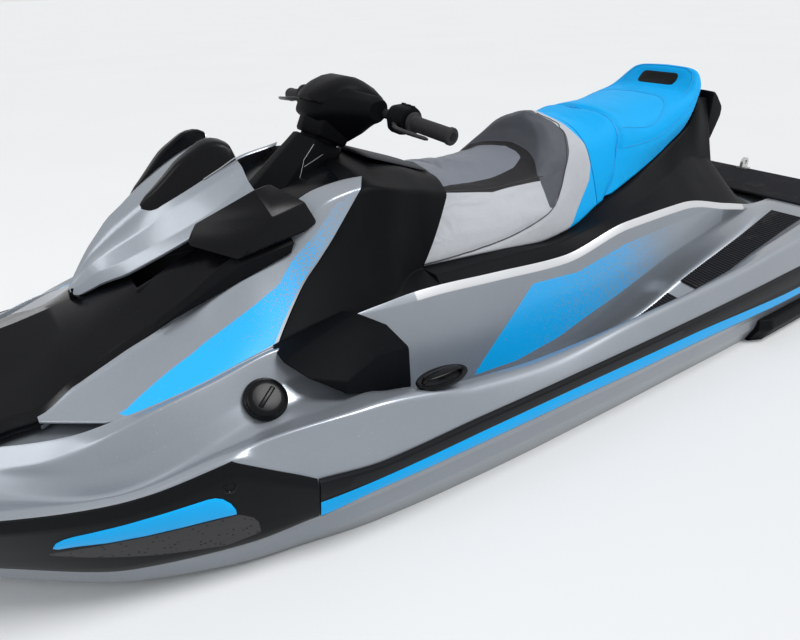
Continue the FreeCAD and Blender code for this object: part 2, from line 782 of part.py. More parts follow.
def outline_sketch(body, name, role, corners):
    """Closed outline on an origin plane; each coordinate is a number or an expression."""
    sketch = body.newObject("Sketcher::SketchObject", name)
    sketch.AttachmentSupport = [(origin_plane(body, role), "")]
    sketch.MapMode = "FlatFace"
    values = [[value_of(item) for item in corner] for corner in corners]
    count = len(values)
    for index in range(count):
        start = V(*values[index], 0)
        end = V(*values[(index + 1) % count], 0)
        sketch.addGeometry(Part.LineSegment(start, end), False)
    for index in range(count):
        following = (index + 1) % count
        sketch.addConstraint(Sketcher.Constraint("Coincident", index, 2, following, 1))
    for index, corner in enumerate(corners):
        for kind, axis in (("DistanceX", 0), ("DistanceY", 1)):
            datum = values[index][axis]
            number = sketch.addConstraint(Sketcher.Constraint(kind, -1, 1, index, 1, datum))
            label = "%s%d" % ("xy"[axis] + "_", index)
            sketch.renameConstraint(number, label)
            sketch.setExpression("Constraints." + label, str(corner[axis]))
    return sketch


def pad(body, sketch, length, name="Pad"):
    obj = body.newObject("PartDesign::Pad", name)
    obj.Profile = sketch
    obj.Midplane = True
    obj.setExpression("Length", length)
    return obj


def revolve(body, sketch, axis="H_Axis"):
    obj = body.newObject("PartDesign::Revolution", "Revolution")
    obj.Profile = sketch
    obj.ReferenceAxis = (sketch, [axis])
    obj.Angle = 360
    return obj


def place(obj, x, y, z, rotation=FreeCAD.Rotation()):
    obj.Placement = FreeCAD.Placement(V(x, y, z), rotation)


# ---------------------------------------------------------------- pieces made by features
def engine():
    body = new_body("engine")
    corners = (("-Sizes.engine_length", 0), (0, 0), (0, "Sizes.engine_height"),
               ("-Sizes.engine_length", "Sizes.engine_height"))
    sketch = outline_sketch(body, "EngineSide", "XZ_Plane", corners)
    pad(body, sketch, "Sizes.engine_width")
    place(body, ENGINE_FRONT_X, 0, ENGINE_FLOOR_Z)


def filler_cap():
    body = new_body("filler_cap")
    corners = ((0, 0), ("Sizes.cap_radius", 0), ("Sizes.cap_radius", "Sizes.cap_height - 4"),
               ("Sizes.cap_radius - 5", "Sizes.cap_height"), (0, "Sizes.cap_height"))
    sketch = outline_sketch(body, "CapSection", "XZ_Plane", corners)
    revolve(body, sketch, "V_Axis")
    place(body, CAP_X, CAP_Y, CAP_Z, FreeCAD.Rotation(V(0, 0, 1), CAP_AXIS))


def cleats():
    """Two folded pull-up cleats; each is a flat bar with a finger gap below its middle."""
    length, width, height = size("cleat_length"), size("cleat_width"), size("cleat_height")
    shapes = []
    for side in (1, -1):
        low = (CLEAT_X - length / 2, side * CLEAT_Y - width / 2, CLEAT_Z)
        high = (CLEAT_X + length / 2, side * CLEAT_Y + width / 2, CLEAT_Z + height)
        gap_low = (CLEAT_X - length / 5, side * CLEAT_Y - width, CLEAT_Z)
        gap_high = (CLEAT_X + length / 5, side * CLEAT_Y + width, CLEAT_Z + height / 2)
        shapes.append(box(low, high).cut(box(gap_low, gap_high)))
    return feature("cleats", Part.makeCompound(shapes))


def pump_housing():
    """Pump tube, cone and outlet tube, with the bosses and arms that carry the pivots."""
    bore, outer = size("pump_bore") / 2, PUMP_RADIUS
    out, wall = size("outlet_radius"), size("outlet_wall")
    flange = outer + 20
    profile = [(PUMP_FRONT_X, bore), (PUMP_FRONT_X, flange), (PUMP_FRONT_X - 12, flange),
               (PUMP_FRONT_X - 12, outer), (PUMP_REAR_X, outer), (PUMP_REAR_X - CONE_LENGTH, out),
               (NOZZLE_X, out), (NOZZLE_X, out - wall), (PUMP_REAR_X - CONE_LENGTH, out - wall),
               (PUMP_REAR_X, bore)]
    points = [V(x, 0, PUMP_Z + r) for x, r in profile]
    face = Part.Face(Part.makePolygon(points + [points[0]]))
    body = face.revolve(V(0, 0, PUMP_Z), V(1, 0, 0), 360)
    pin = size("nozzle_pin_radius")
    for sign in (1, -1):
        start = (NOZZLE_X, 0, PUMP_Z + sign * (out - 3))
        end = (NOZZLE_X, 0, PUMP_Z + sign * (out + 10))
        body = body.fuse(rod(start, end, pin + 8))
        bore_end = (NOZZLE_X, 0, PUMP_Z + sign * (out + 11))
        body = body.cut(rod((NOZZLE_X, 0, PUMP_Z + sign * (out - 4)), bore_end,
                            pin + size("pin_clearance")))
    arm_in, arm_out = ARM_INNER_Y, ARM_INNER_Y + 8
    for side in (1, -1):
        y_low, y_high = sorted((side * arm_in, side * arm_out))
        plate = box((BUCKET_X - 20, y_low, PUMP_Z - 20), (PUMP_REAR_X + 60, y_high, PUMP_Z + 20))
        y_low, y_high = sorted((side * (outer - 12), side * arm_out))
        block = box((PUMP_REAR_X + 20, y_low, PUMP_Z - 20), (PUMP_REAR_X + 60, y_high, PUMP_Z + 20))
        start = (BUCKET_X, side * (arm_out - 2), PUMP_Z)
        end = (BUCKET_X, side * (size("bucket_width") / 2 + 4), PUMP_Z)
        body = body.fuse(plate).fuse(block).fuse(rod(start, end, size("bucket_pin_radius")))
    return feature("pump_housing", body.removeSplitter())


# Arms that carry the reverse bucket lie between it and the swinging nozzle.
ARM_INNER_Y = size("bucket_width") / 2 - size("bucket_wall") - size("panel_gap") - 9


def steering_nozzle():
    front, rear = size("nozzle_lip"), -size("nozzle_reach")
    wide, narrow, wall = size("outlet_radius") + 31, size("outlet_radius"), size("outlet_wall")
    profile = [(front, wide - wall), (front, wide), (rear, narrow), (rear, narrow - wall)]
    points = [V(NOZZLE_X + x, 0, PUMP_Z + r) for x, r in profile]
    face = Part.Face(Part.makePolygon(points + [points[0]]))
    body = face.revolve(V(0, 0, PUMP_Z), V(1, 0, 0), 360)
    for sign in (1, -1):
        start = (NOZZLE_X, 0, PUMP_Z + sign * size("outlet_radius"))
        end = (NOZZLE_X, 0, PUMP_Z + sign * (wide + 2))
        body = body.fuse(rod(start, end, size("nozzle_pin_radius")))
    return feature("steering_nozzle", body)


BUCKET_START = 30.0
BUCKET_SPREAD = 70.0


def reverse_bucket():
    """Part of a drum about the pivot axis, parked above the nozzle."""
    wall, width = size("bucket_wall"), size("bucket_width")
    radius = size("bucket_radius")
    turn = FreeCAD.Rotation(V(1, 0, 0), 90)
    shapes = []
    for reach, half in ((radius, width / 2), (radius - wall, width / 2 - wall)):
        drum = doc.addObject("Part::Cylinder", "Drum")
        drum.Radius = reach
        drum.Height = 2 * half
        drum.Angle = BUCKET_SPREAD
        first = 180 - BUCKET_START - BUCKET_SPREAD
        spin = turn.multiply(FreeCAD.Rotation(V(0, 0, 1), first))
        drum.Placement = FreeCAD.Placement(V(BUCKET_X, half, PUMP_Z), spin)
        shapes.append(drum)
    hubs = []
    for side in (1, -1):
        inner, outer = side * (width / 2 - wall), side * width / 2
        hubs.append(rod((BUCKET_X, inner, PUMP_Z), (BUCKET_X, outer, PUMP_Z), 22))
    doc.recompute()
    body = shapes[0].Shape.cut(shapes[1].Shape).fuse(hubs[0]).fuse(hubs[1])
    hole = size("bucket_pin_radius") + size("pin_clearance")
    body = body.cut(rod((BUCKET_X, -width, PUMP_Z), (BUCKET_X, width, PUMP_Z), hole))
    for drum in shapes:
        doc.removeObject(drum.Name)
    return feature("reverse_bucket", body.removeSplitter())


def impeller():
    """Hub, four pitched blades and the drive shaft that runs forward to the engine."""
    hub_radius, hub_length = 32.0, 95.0
    middle = V((PUMP_FRONT_X + PUMP_REAR_X) / 2, 0, PUMP_Z)
    tip = size("pump_bore") / 2 - size("impeller_clearance")
    disc = Part.makeCylinder(tip, hub_length, middle - V(hub_length / 2, 0, 0), V(1, 0, 0))
    blades = 4
    body = Part.makeCylinder(hub_radius, hub_length, middle - V(hub_length / 2, 0, 0), V(1, 0, 0))
    for number in range(blades):
        blade = Part.makeBox(90, 5, tip + 10, V(-45, -2.5, hub_radius - 8))
        blade.rotate(V(0, 0, 0), V(0, 0, 1), 40)
        blade.rotate(V(0, 0, 0), V(1, 0, 0), 360.0 * number / blades)
        blade.translate(middle)
        body = body.fuse(blade.common(disc))
    shaft = rod((middle.x, 0, PUMP_Z), (PUMP_FRONT_X + 229, 0, PUMP_Z), size("shaft_radius"))
    return feature("impeller", body.fuse(shaft).removeSplitter())


def ride_plate():
    half = size("tunnel_width") / 2
    front, rear = PUMP_FRONT_X, BUCKET_X + 20
    wires = []
    for x in (rear, front):
        drawn = x * DRAWN_LENGTH / size("hull_length")
        keel = up(HULL.at(drawn, "keel_z"))
        rise = up(HULL.at(drawn, "chine_z")) - keel
        side = keel + rise * half / across(HULL.at(drawn, "chine_y"))
        points = [V(x, 0, keel), V(x, half, side), V(x, half, side + 9), V(x, 0, keel + 9),
                  V(x, -half, side + 9), V(x, -half, side)]
        wires.append(Part.makePolygon(points + [points[0]]))
    return feature("ride_plate", ruled(wires))


def intake_grate():
    duct = intake_duct()
    bars = []
    for y in (-45, 0, 45):
        bar = box((-FAR, y - 5, up(-262)), (0, y + 5, up(-262) + 12))
        bars.append(bar.common(duct))
    rear = box((DUCT_MOUTH_REAR - 8, -DUCT_HALF, up(-262)),
               (DUCT_MOUTH_REAR + 6, DUCT_HALF, up(-262) + 12))
    bars.append(rear.common(duct))
    return feature("intake_grate", fuse(bars))


TOW_HOLE_RADIUS = 9.0


def eye(x, y, z, back):
    """Plate eye with its hole along Y, its root running back along X."""
    half = size("eye_thickness") / 2
    radius = size("eye_radius")
    disc = rod((x, y - half, z), (x, y + half, z), radius)
    root = box((min(x, x + back), y - half, z - radius), (max(x, x + back), y + half, z + radius))
    hole = rod((x, y - half - 1, z), (x, y + half + 1, z), size("eye_hole_radius"))
    return disc.fuse(root).cut(hole)


def mooring_eyes(hull_part):
    """Eye under the bow and two eyes on the transom."""
    shape = eye(along(1618) + 22, 0, up(108) - 18, -60).cut(hull_part.Shape)
    eyes = [max(shape.Solids, key=lambda solid: solid.Volume)]
    for side in (1, -1):
        eyes.append(eye(TRANSOM_X - 24, side * across(380), up(0), 24))
    return feature("mooring_eyes", Part.makeCompound(eyes))


def tow_hook():
    """Ring on a foot at the middle of the rear platform."""
    x = along(-1625)
    z = up(DECK.at(-1625, "edge_z")) + size("mat_thickness")
    half = size("eye_thickness") / 2
    foot = box((x - 20, -20, z), (x + 20, 20, z + 6))
    ring = rod((x, -half, z + 24), (x, half, z + 24), 20)
    neck = box((x - 20, -half, z + 3), (x + 20, half, z + 24))
    hole = rod((x, -half - 1, z + 26), (x, half + 1, z + 26), TOW_HOLE_RADIUS)
    body = foot.fuse(ring).fuse(neck).cut(hole)
    rise = up(DECK.at(-1600, "edge_z")) - up(DECK.at(-1663, "edge_z"))
    slope = math.degrees(math.atan2(rise, along(-1600) - along(-1663)))
    body.rotate(V(x, 0, z), V(0, 1, 0), -slope)
    return feature("tow_hook", body)


def drain_plugs():
    plugs = []
    for side in (1, -1):
        y = side * across(330)
        plugs.append(rod((TRANSOM_X, y, up(-80)), (TRANSOM_X - 14, y, up(-80)), size("plug_radius")))
    return feature("drain_plugs", Part.makeCompound(plugs))


# ---------------------------------------------------------------- reboarding step
STEP_X = TRANSOM_X - 30
STEP_Z = up(-140)


def step_brackets():
    half = size("step_width") / 2
    shapes = []
    for side in (1, -1):
        inner = side * (half + size("step_tube_radius") + 5)
        outer = inner + side * 8
        y_low, y_high = sorted((inner, outer))
        plate = box((STEP_X - 14, y_low, STEP_Z - 16), (TRANSOM_X, y_high, STEP_Z + 16))
        pin = rod((STEP_X, side * (half - 12), STEP_Z), (STEP_X, outer, STEP_Z), size("step_pin_radius"))
        shapes.append(plate.fuse(pin))
    return feature("step_brackets", Part.makeCompound(shapes))


def reboarding_step():
    """Tube bow with a flat tread, folded up behind the transom."""
    half, reach, radius = size("step_width") / 2, size("step_reach"), size("step_tube_radius")
    body = rod((STEP_X, -half, STEP_Z + reach), (STEP_X, half, STEP_Z + reach), radius)
    for side in (1, -1):
        body = body.fuse(rod((STEP_X, side * half, STEP_Z), (STEP_X, side * half, STEP_Z + reach), radius))
        body = body.fuse(Part.makeSphere(radius, V(STEP_X, side * half, STEP_Z + reach)))
        hub = rod((STEP_X, side * half - 12, STEP_Z), (STEP_X, side * half + 12, STEP_Z), radius + 3)
        body = body.fuse(hub)
    tread = box((STEP_X - radius, -half + 60, STEP_Z + reach - 30),
                (STEP_X + radius - 2, half - 60, STEP_Z + reach))
    body = body.fuse(tread)
    hole = size("step_pin_radius") + size("pin_clearance")
    body = body.cut(rod((STEP_X, -FAR, STEP_Z), (STEP_X, FAR, STEP_Z), hole))
    return feature("reboarding_step", body.removeSplitter())


# ---------------------------------------------------------------- hood with its trim
def hood():
    gap = size("panel_gap")
    wires = []
    for x in stations_between(592, 948, HULL, DECK, UPPER, HOOD):
        names = ("low", "crease", "top")
        half = [HOOD.point(x, name) for name in names] + [(0, HOOD.at(x, "ridge_z"))]
        low_y = HOOD.at(x, "low_y")
        crown_y, crown_z = UPPER.point(x, "crown")
        ridge_z = UPPER.at(x, "ridge_z")
        inner_y = min(crown_y, low_y * 0.8)
        inner_z = crown_z + (ridge_z - crown_z) * (1 - inner_y / crown_y)
        port = [V(along(x), across(y), up(z)) for y, z in half]
        under = [V(along(x), 0, up(ridge_z) + gap + 1), V(along(x), across(inner_y), up(inner_z) + gap + 1)]
        points = port + [V(p.x, -p.y, p.z) for p in reversed(port[:-1])]
        points += [V(under[1].x, -under[1].y, under[1].z), under[0], under[1]]
        wires.append(Part.makePolygon(points + [points[0]]))
    body = ruled(wires)
    half = size("lug_width") / 2 + 2
    reach = size("lug_radius")
    body = body.cut(box((HINGE_X - reach - 3, -half, 0), (FAR, half, FAR)))
    for side in (1, -1):
        inner, outer = sorted((side * half, side * (half + size("ear_width"))))
        ear = rod((HINGE_X, inner, HINGE_Z), (HINGE_X, outer, HINGE_Z), reach)
        arm = box((HINGE_X - 16, inner, HINGE_Z), (HINGE_X, outer, up(497) + 3))
        body = body.fuse(ear).fuse(arm)
    hole = size("hinge_pin_radius") + size("pin_clearance")
    body = body.cut(rod((HINGE_X, -FAR, HINGE_Z), (HINGE_X, FAR, HINGE_Z), hole))
    return feature("hood", body.removeSplitter())


def hood_wings(hood_part):
    outline = [(745, 652), (574, 709), (514, 664), (494, 632), (530, 622), (660, 612)]
    points = [(along(x), up(z)) for x, z in outline]
    shapes = []
    for side in (1, -1):
        low, high = sorted((side * across(188), side * across(262)))
        wing = side_prism(points, low, high).cut(hood_part.Shape)
        shapes.append(max(wing.Solids, key=lambda solid: solid.Volume))
    return feature("hood_wings", Part.makeCompound(shapes))


def mirror_pods(hood_part):
    outline = [(794, 636), (794, 656), (760, 692), (730, 722), (700, 750), (665, 774), (635, 785),
               (592, 778), (592, 690)]
    points = [(along(x), up(z)) for x, z in outline]
    shapes = []
    for side in (1, -1):
        low, high = sorted((side * across(46), side * across(140)))
        pod = side_prism(points, low, high).cut(hood_part.Shape)
        solids = [solid for solid in pod.Solids if solid.CenterOfMass.z > up(690)]
        shapes.append(max(solids, key=lambda solid: solid.Volume))
    return feature("mirror_pods", Part.makeCompound(shapes))


def mirror_glass():
    shapes = []
    for side in (1, -1):
        low, high = sorted((side * across(54), side * across(132)))
        rear_x = along(592)
        shapes.append(box((rear_x - 3, low, up(712)), (rear_x, high, up(768))))
    return feature("mirror_glass", Part.makeCompound(shapes))


# ---------------------------------------------------------------- steering
def axis_box(low, high, rear, front, half):
    """Block along the steering axis, tapering from (rear, front, half) pairs."""
    wires = []
    for distance, back, ahead, side in zip((low, high), rear, front, half):
        points = [on_axis(distance, ahead, side), on_axis(distance, back, side),
                  on_axis(distance, back, -side), on_axis(distance, ahead, -side)]
        wires.append(Part.makePolygon(points + [points[0]]))
    return ruled(wires)


def steering_column(console_part, cover_part):
    body = axis_box(0, SHROUD_TOP, (-60, -42), (110, 52), (105, 62))
    body = body.cut(console_part.Shape).cut(cover_part.Shape)
    body = max(body.Solids, key=lambda solid: solid.Volume)
    return feature("steering_column", body.cut(column_bore()))


# Handlebar tube: its middle on the steering axis, then knee and end on the port side.
BAR_REACH = 190.0
BAR_FORWARD = 16.0
BAR_KNEE = V(-42, 130, 3)
BAR_END = V(-70, 0, -22)


def bar_points():
    middle = on_axis(BAR_REACH, BAR_FORWARD)
    return [middle, middle + BAR_KNEE, middle + BAR_END + V(0, size("bar_span") / 2, 0)]


def bar_point(distance_from_end, side):
    points = bar_points()
    direction = (points[1] - points[2]).normalize()
    point = points[2] + direction * distance_from_end
    return V(point.x, side * point.y, point.z)


def handlebar():
    radius = size("bar_radius")
    middle, knee, end = bar_points()
    body = Part.makeSphere(radius, middle)
    for side in (1, -1):
        bend = V(knee.x, side * knee.y, knee.z)
        body = body.fuse(rod(middle, bend, radius)).fuse(Part.makeSphere(radius, bend))
        body = body.fuse(rod(bend, bar_point(0, side), radius))
    shaft = rod(on_axis(SHAFT_FOOT), on_axis(BAR_REACH), size("column_pin_radius"))
    return feature("handlebar", body.fuse(shaft).removeSplitter())


# Side view of the pod: places ahead of the steering axis and up along it.
POD_OUTLINE = ((82, 131), (66, 244), (21, 280), (-86, 298), (-150, 270), (-53, 177), (9, 129))


def handlebar_pod(bar_part):
    half = 78
    points = [on_axis(distance, forward) for forward, distance in POD_OUTLINE]
    body = side_prism([(p.x, p.z) for p in points], -half, half)
    keep_above = axis_box(SHROUD_TOP + size("panel_gap"), 600, (-600, -600), (600, 600), (400, 400))
    body = body.common(keep_above).cut(bar_part.Shape)
    return feature("handlebar_pod", max(body.Solids, key=lambda solid: solid.Volume))


def sleeve(start, end, radius):
    tube = rod(start, end, radius)
    return tube.cut(rod(start, end, size("bar_radius")))


def grips():
    shapes = []
    for side in (1, -1):
        end = bar_point(0, side)
        start = bar_point(size("grip_length"), side)
        shapes.append(sleeve(start, end, size("grip_radius")))
    return feature("grips", Part.makeCompound(shapes))


def switch_boxes():
    shapes = []
    for side in (1, -1):
        end = bar_point(size("grip_length") + 4, side)
        start = bar_point(size("grip_length") + 54, side)
        shapes.append(sleeve(start, end, 27))
    return feature("switch_boxes", Part.makeCompound(shapes))


def levers():
    """Throttle and reverse levers: flat bars ahead of the grips, rooted in the switch boxes."""
    shapes = []
    for side in (1, -1):
        root = bar_point(size("grip_length") + 29, side) + V(16, 0, -4)
        bend = bar_point(size("grip_length") - 8, side) + V(50, 0, -2)
        tip = bar_point(24, side) + V(44, 0, -4)
        arm = fuse([rod(root, bend, 6), Part.makeSphere(6, bend), rod(bend, tip, 6),
                    Part.makeSphere(6, tip)])
        box_part = rod(bar_point(size("grip_length") + 4, side),
                       bar_point(size("grip_length") + 54, side), 27)
        arm = arm.cut(box_part)
        shapes.append(max(arm.Solids, key=lambda solid: solid.Volume))
    return feature("levers", Part.makeCompound(shapes))


# ---------------------------------------------------------------- build
hull_part = hull()
deck_part = deck()
gunwale_parts = gunwales()
pedestal_part = pedestal()
rub_rail()
bow_bumper()
bumper_inserts()
panel_part = bow_panels()
cover_part = bow_cover()
storage_tub()
console_part = console()
glove_box_lid()
splash_guards([deck_part, pedestal_part, console_part, panel_part, *gunwale_parts])
base_part = seat_base()
cushion("front_seat", FRONT_SEAT, True)
rear_part = cushion("rear_seat", REAR_SEAT, False)
grab_handle(base_part, rear_part)
footwell_mats()
rear_deck_mat()
sponsons()
engine()
filler_cap()
cleats()
pump_housing()
impeller()
steering_nozzle()
reverse_bucket()
ride_plate()
intake_grate()
mooring_eyes(hull_part)
tow_hook()
drain_plugs()
step_brackets()
reboarding_step()
hood_part = hood()
hood_wings(hood_part)
mirror_pods(hood_part)
mirror_glass()
steering_column(console_part, cover_part)
bar_part = handlebar()
handlebar_pod(bar_part)
grips()
switch_boxes()
levers()
doc.recompute()

# ---------------------------------------------------------------- check and write
for obj in doc.Objects:
    if "Invalid" in obj.State or "Error" in obj.State:
        raise RuntimeError("%s did not recompute" % obj.Label)
for obj in nodes:
    if obj.Shape.isNull() or not obj.Shape.isValid() or not obj.Shape.Solids:
        raise RuntimeError("%s has no valid solid" % obj.Label)
os.makedirs("parts", exist_ok=True)
for obj in nodes:
    obj.Shape.exportStep(os.path.join("parts", obj.Label + ".step"))
    print("%-20s solids %d volume %.1f l" % (obj.Label, len(obj.Shape.Solids), obj.Shape.Volume / 1e6))
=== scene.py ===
import contextlib
import math

import bmesh
import bpy
import numpy as np
from mathutils import Matrix, Vector
from mathutils.bvhtree import BVHTree


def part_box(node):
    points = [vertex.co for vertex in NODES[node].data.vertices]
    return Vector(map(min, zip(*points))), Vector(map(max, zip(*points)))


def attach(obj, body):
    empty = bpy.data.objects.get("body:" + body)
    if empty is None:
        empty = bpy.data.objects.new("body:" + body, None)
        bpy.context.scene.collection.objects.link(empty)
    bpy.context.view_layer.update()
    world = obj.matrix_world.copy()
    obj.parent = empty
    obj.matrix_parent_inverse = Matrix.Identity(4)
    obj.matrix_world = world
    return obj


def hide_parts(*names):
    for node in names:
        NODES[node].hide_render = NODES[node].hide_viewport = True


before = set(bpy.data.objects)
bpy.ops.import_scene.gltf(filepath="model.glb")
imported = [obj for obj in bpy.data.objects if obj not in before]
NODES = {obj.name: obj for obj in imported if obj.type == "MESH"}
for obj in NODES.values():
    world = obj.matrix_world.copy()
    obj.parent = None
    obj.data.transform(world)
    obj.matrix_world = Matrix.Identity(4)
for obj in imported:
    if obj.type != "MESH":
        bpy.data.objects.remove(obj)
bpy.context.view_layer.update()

bl_info = {
    "name": "Personal Watercraft",
    "version": (1, 0, 0),
    "blender": (4, 5, 0),
    "location": "View3D > Sidebar > Watercraft",
    "description": "Builds the visible skins, seats, trim and finishes of the watercraft",
    "category": "Object",
}

MM = 0.001
SIDES = (1, -1)
UP = Vector((0, 0, 1))

# The finishes carry a prefix, because the slots of the parts have taken the plain names.
FINISH = "finish_"


# ------------------------------------------------------------------ fair lines
class Fair:
    """A fair curve through stations that never overshoots them."""

    def __init__(self, places, values):
        self.x = np.asarray(places, float)
        self.y = np.asarray(values, float)
        step = np.diff(self.x)
        rise = np.diff(self.y) / step
        slope = np.zeros(len(self.x))
        slope[0], slope[-1] = rise[0], rise[-1]
        for i in range(1, len(self.x) - 1):
            if rise[i - 1] * rise[i] > 0:
                a = 2 * step[i] + step[i - 1]
                b = step[i] + 2 * step[i - 1]
                slope[i] = (a + b) / (a / rise[i - 1] + b / rise[i])
        self.slope = slope

    def __call__(self, x):
        x = np.clip(x, self.x[0], self.x[-1])
        i = np.clip(np.searchsorted(self.x, x) - 1, 0, len(self.x) - 2)
        h = self.x[i + 1] - self.x[i]
        t = (x - self.x[i]) / h
        return ((1 + 2 * t) * (1 - t) ** 2 * self.y[i] + t * (1 - t) ** 2 * h * self.slope[i]
                + t * t * (3 - 2 * t) * self.y[i + 1] + t * t * (t - 1) * h * self.slope[i + 1])


class Lines:
    """Offsets at stations from a table: a row of names, then rows in millimetres; gives metres."""

    def __init__(self, text):
        columns, *rows = (row.split() for row in text.strip().splitlines())
        rows = np.array(rows, float) * MM
        self.curves = {name: Fair(rows[:, 0], rows[:, i])
                       for i, name in enumerate(columns) if i}

    def at(self, x, name):
        return float(self.curves[name](x))

    def point(self, x, name):
        return np.array([self.at(x, name + "_y"), self.at(x, name + "_z")])


HULL = Lines("""
    x keel_z chine_y chine_z knuckle_y knuckle_z rail_low_y rail_low_z rail_top_y rail_top_z
    -1663 -180 440 20 500 75 533 130 543 225
    -1600 -265 462 -105 528 78 548 130 556 235
    -1450 -270 472 -110 541 76 563 130 571 240
    -1200 -275 480 -115 553 74 576 130 584 242
    -950 -280 484 -118 560 74 583 131 592 242
    -700 -280 488 -120 565 80 588 140 597 239
    -450 -280 492 -120 566 86 590 148 599 236
    -200 -280 494 -120 568 90 592 154 600 235
    50 -280 492 -120 568 94 591 159 600 235
    300 -280 482 -118 563 96 588 161 596 234
    550 -278 455 -110 546 90 574 156 584 224
    680 -272 425 -100 508 60 538 120 553 222
    820 -262 378 -88 476 50 508 105 529 319
    1010 -235 300 -60 412 60 452 110 488 292
    1200 -175 190 -10 315 100 363 155 418 303
    1400 -70 90 60 170 140 220 195 308 328
    1550 40 30 120 72 170 104 215 183 342
    1660 150 8 170 16 195 28 225 58 350
    """)

DECK = Lines("""
    x crest_y crest_z inner_y inner_z floor_out_y floor_out_z floor_in_y floor_in_z edge_y edge_z
    -1663 522 296 495 308 455 310 320 310 290 310
    -1600 534 304 500 314 460 316 320 316 290 316
    -1450 542 310 502 320 462 320 320 320 290 320
    -1300 550 314 502 326 465 322 330 322 290 322
    -1200 553 318 500 330 468 312 350 312 300 330
    -950 556 315 500 305 468 260 375 265 330 385
    -700 560 302 508 268 474 200 385 210 330 435
    -450 562 296 512 250 478 140 400 150 330 430
    -200 562 289 514 247 480 112 408 120 330 388
    50 562 275 514 254 480 110 410 120 330 405
    300 562 295 505 275 460 140 405 150 335 424
    400 556 318 502 300 458 230 408 250 345 425
    550 548 335 498 325 455 320 410 350 355 422
    680 532 335 485 322 445 330 410 360 355 408
    820 508 328 465 300 445 305 418 340 358 385
    1010 465 298 432 260 415 256 390 300 345 360
    1200 385 303 342 287 322 287 290 312 250 342
    1400 275 336 240 331 222 336 192 346 160 358
    1550 158 350 130 352 112 355 92 360 72 364
    1660 42 354 36 356 30 357 25 358 20 360
    """)

# Side panels ahead of the console: outer and inner edge of their top.
PANEL = Lines("""
    x out_y out_z top_y top_z
    340 250 664 226 681
    400 250 659 206 675
    460 250 647 203 666
    500 248 622 203 652
    550 236 582 208 606
    600 230 563 216 580
    660 226 541 218 552
    720 222 506 215 516
    780 221 466 214 476
    850 221 437 214 446
    900 221 420 214 429
    950 221 400 214 409
    1010 224 379 216 386
    1085 258 363 252 366
    1130 248 357 242 360
    """)

# Dark cover of the bow: foot, upper edge of its bevelled border, crown and ridge.
COVER = Lines("""
    x shoulder_y shoulder_z band_y band_z crown_y crown_z ridge_z
    345 226 640 200 652 150 668 680
    460 222 610 200 628 150 640 655
    550 222 575 205 592 150 600 620
    600 216 562 214 580 150 595 606
    660 216 536 210 562 145 580 592
    720 212 502 206 528 140 560 572
    780 211 462 203 490 130 540 555
    850 211 434 200 458 115 508 524
    900 211 416 196 438 104 482 500
    950 211 397 192 416 104 456 475
    1010 218 375 198 392 118 425 462
    1085 253 359 234 372 122 404 448
    1130 243 354 224 367 120 396 442
    1200 236 346 218 359 116 387 430
    1400 156 359 140 368 74 387 402
    1550 68 364 58 369 30 377 380
    1655 14 362 12 363 8 365 366
    """)

BASE = Lines("""
    x facet_y facet_z saddle_y saddle_z
    -1145 240 354 150 372
    -1095 214 405 150 440
    -1050 196 476 150 520
    -1040 194 486 140 684
    -955 198 508 170 674
    -899 206 515 182 613
    -804 228 508 192 572
    -690 252 478 204 528
    -600 272 458 224 500
    -420 296 440 244 456
    -310 300 428 262 415
    -200 300 416 266 406
    -50 300 420 266 420
    100 300 428 258 426
    250 305 434 250 432
    """)

# Hood: lower edge, top of the lower facet, crease, foot of the crown, ridge.
HOOD = Lines("""
    x low_y low_z facet_y facet_z crease_y crease_z top_y top_z ridge_z
    592 203 686 170 700 144 726 93 747 758
    620 195 669 168 682 134 711 87 738 752
    660 180 640 159 655 119 689 78 722 742
    703 161 614 140 628 103 666 65 704 723
    750 140 587 118 603 85 640 53 680 696
    790 121 565 101 583 65 612 43 655 671
    820 106 549 89 569 53 594 36 633 649
    850 90 533 74 554 42 578 28 610 628
    880 66 519 52 540 31 560 20 585 597
    900 50 509 38 530 24 548 15 568 576
    925 29 492 20 511 13 526 8 538 544
    948 14 482 11 496 7 505 3 509 512
    958 7 484 6 490 4 494 2 496 497
    """)

# Cushions, seen across: low edge, widest line, shoulder, crown, middle.
SEAT = Lines("""
    x low_y low_z side_y side_z edge_y edge_z top_y top_z middle_z
    -1040 84 706 86 722 74 738 54 746 748
    -1028 106 702 110 724 98 752 72 763 766
    -1010 124 698 130 726 115 762 84 774 778
    -990 138 692 146 724 128 764 96 777 780
    -970 150 682 158 716 140 750 106 759 760
    -950 158 670 168 705 148 732 112 738 738
    -930 168 655 177 690 156 717 116 721 721
    -905 177 634 187 672 163 706 120 711 713
    -870 184 608 194 650 168 697 124 706 711
    -804 191 577 200 622 177 674 126 702 710
    -740 199 550 204 602 183 652 126 692 704
    -670 208 526 206 587 185 640 124 685 701
    -600 217 505 207 577 183 642 122 684 701
    -560 223 495 208 567 179 644 118 686 699
    -520 228 484 211 556 177 637 116 678 690
    -470 234 470 214 546 177 629 112 670 684
    -420 240 457 215 540 177 623 110 673 692
    -380 243 438 214 532 177 613 108 677 701
    -345 246 424 214 528 178 607 108 678 705
    -315 249 417 216 524 179 602 109 675 704
    -290 251 413 220 518 181 596 111 663 690
    -266 252 410 225 512 182 588 112 641 661
    -250 253 408 229 508 182 581 112 619 634
    -238 253 407 231 506 180 575 112 604 616
    -215 254 405 231 505 175 570 112 596 606
    -190 254 404 229 505 172 570 110 592 602
    -130 254 408 228 500 168 566 108 590 599
    -40 254 416 226 502 166 572 104 597 604
    90 250 425 218 520 160 590 98 616 627
    240 242 432 212 520 150 596 96 620 632
    """)

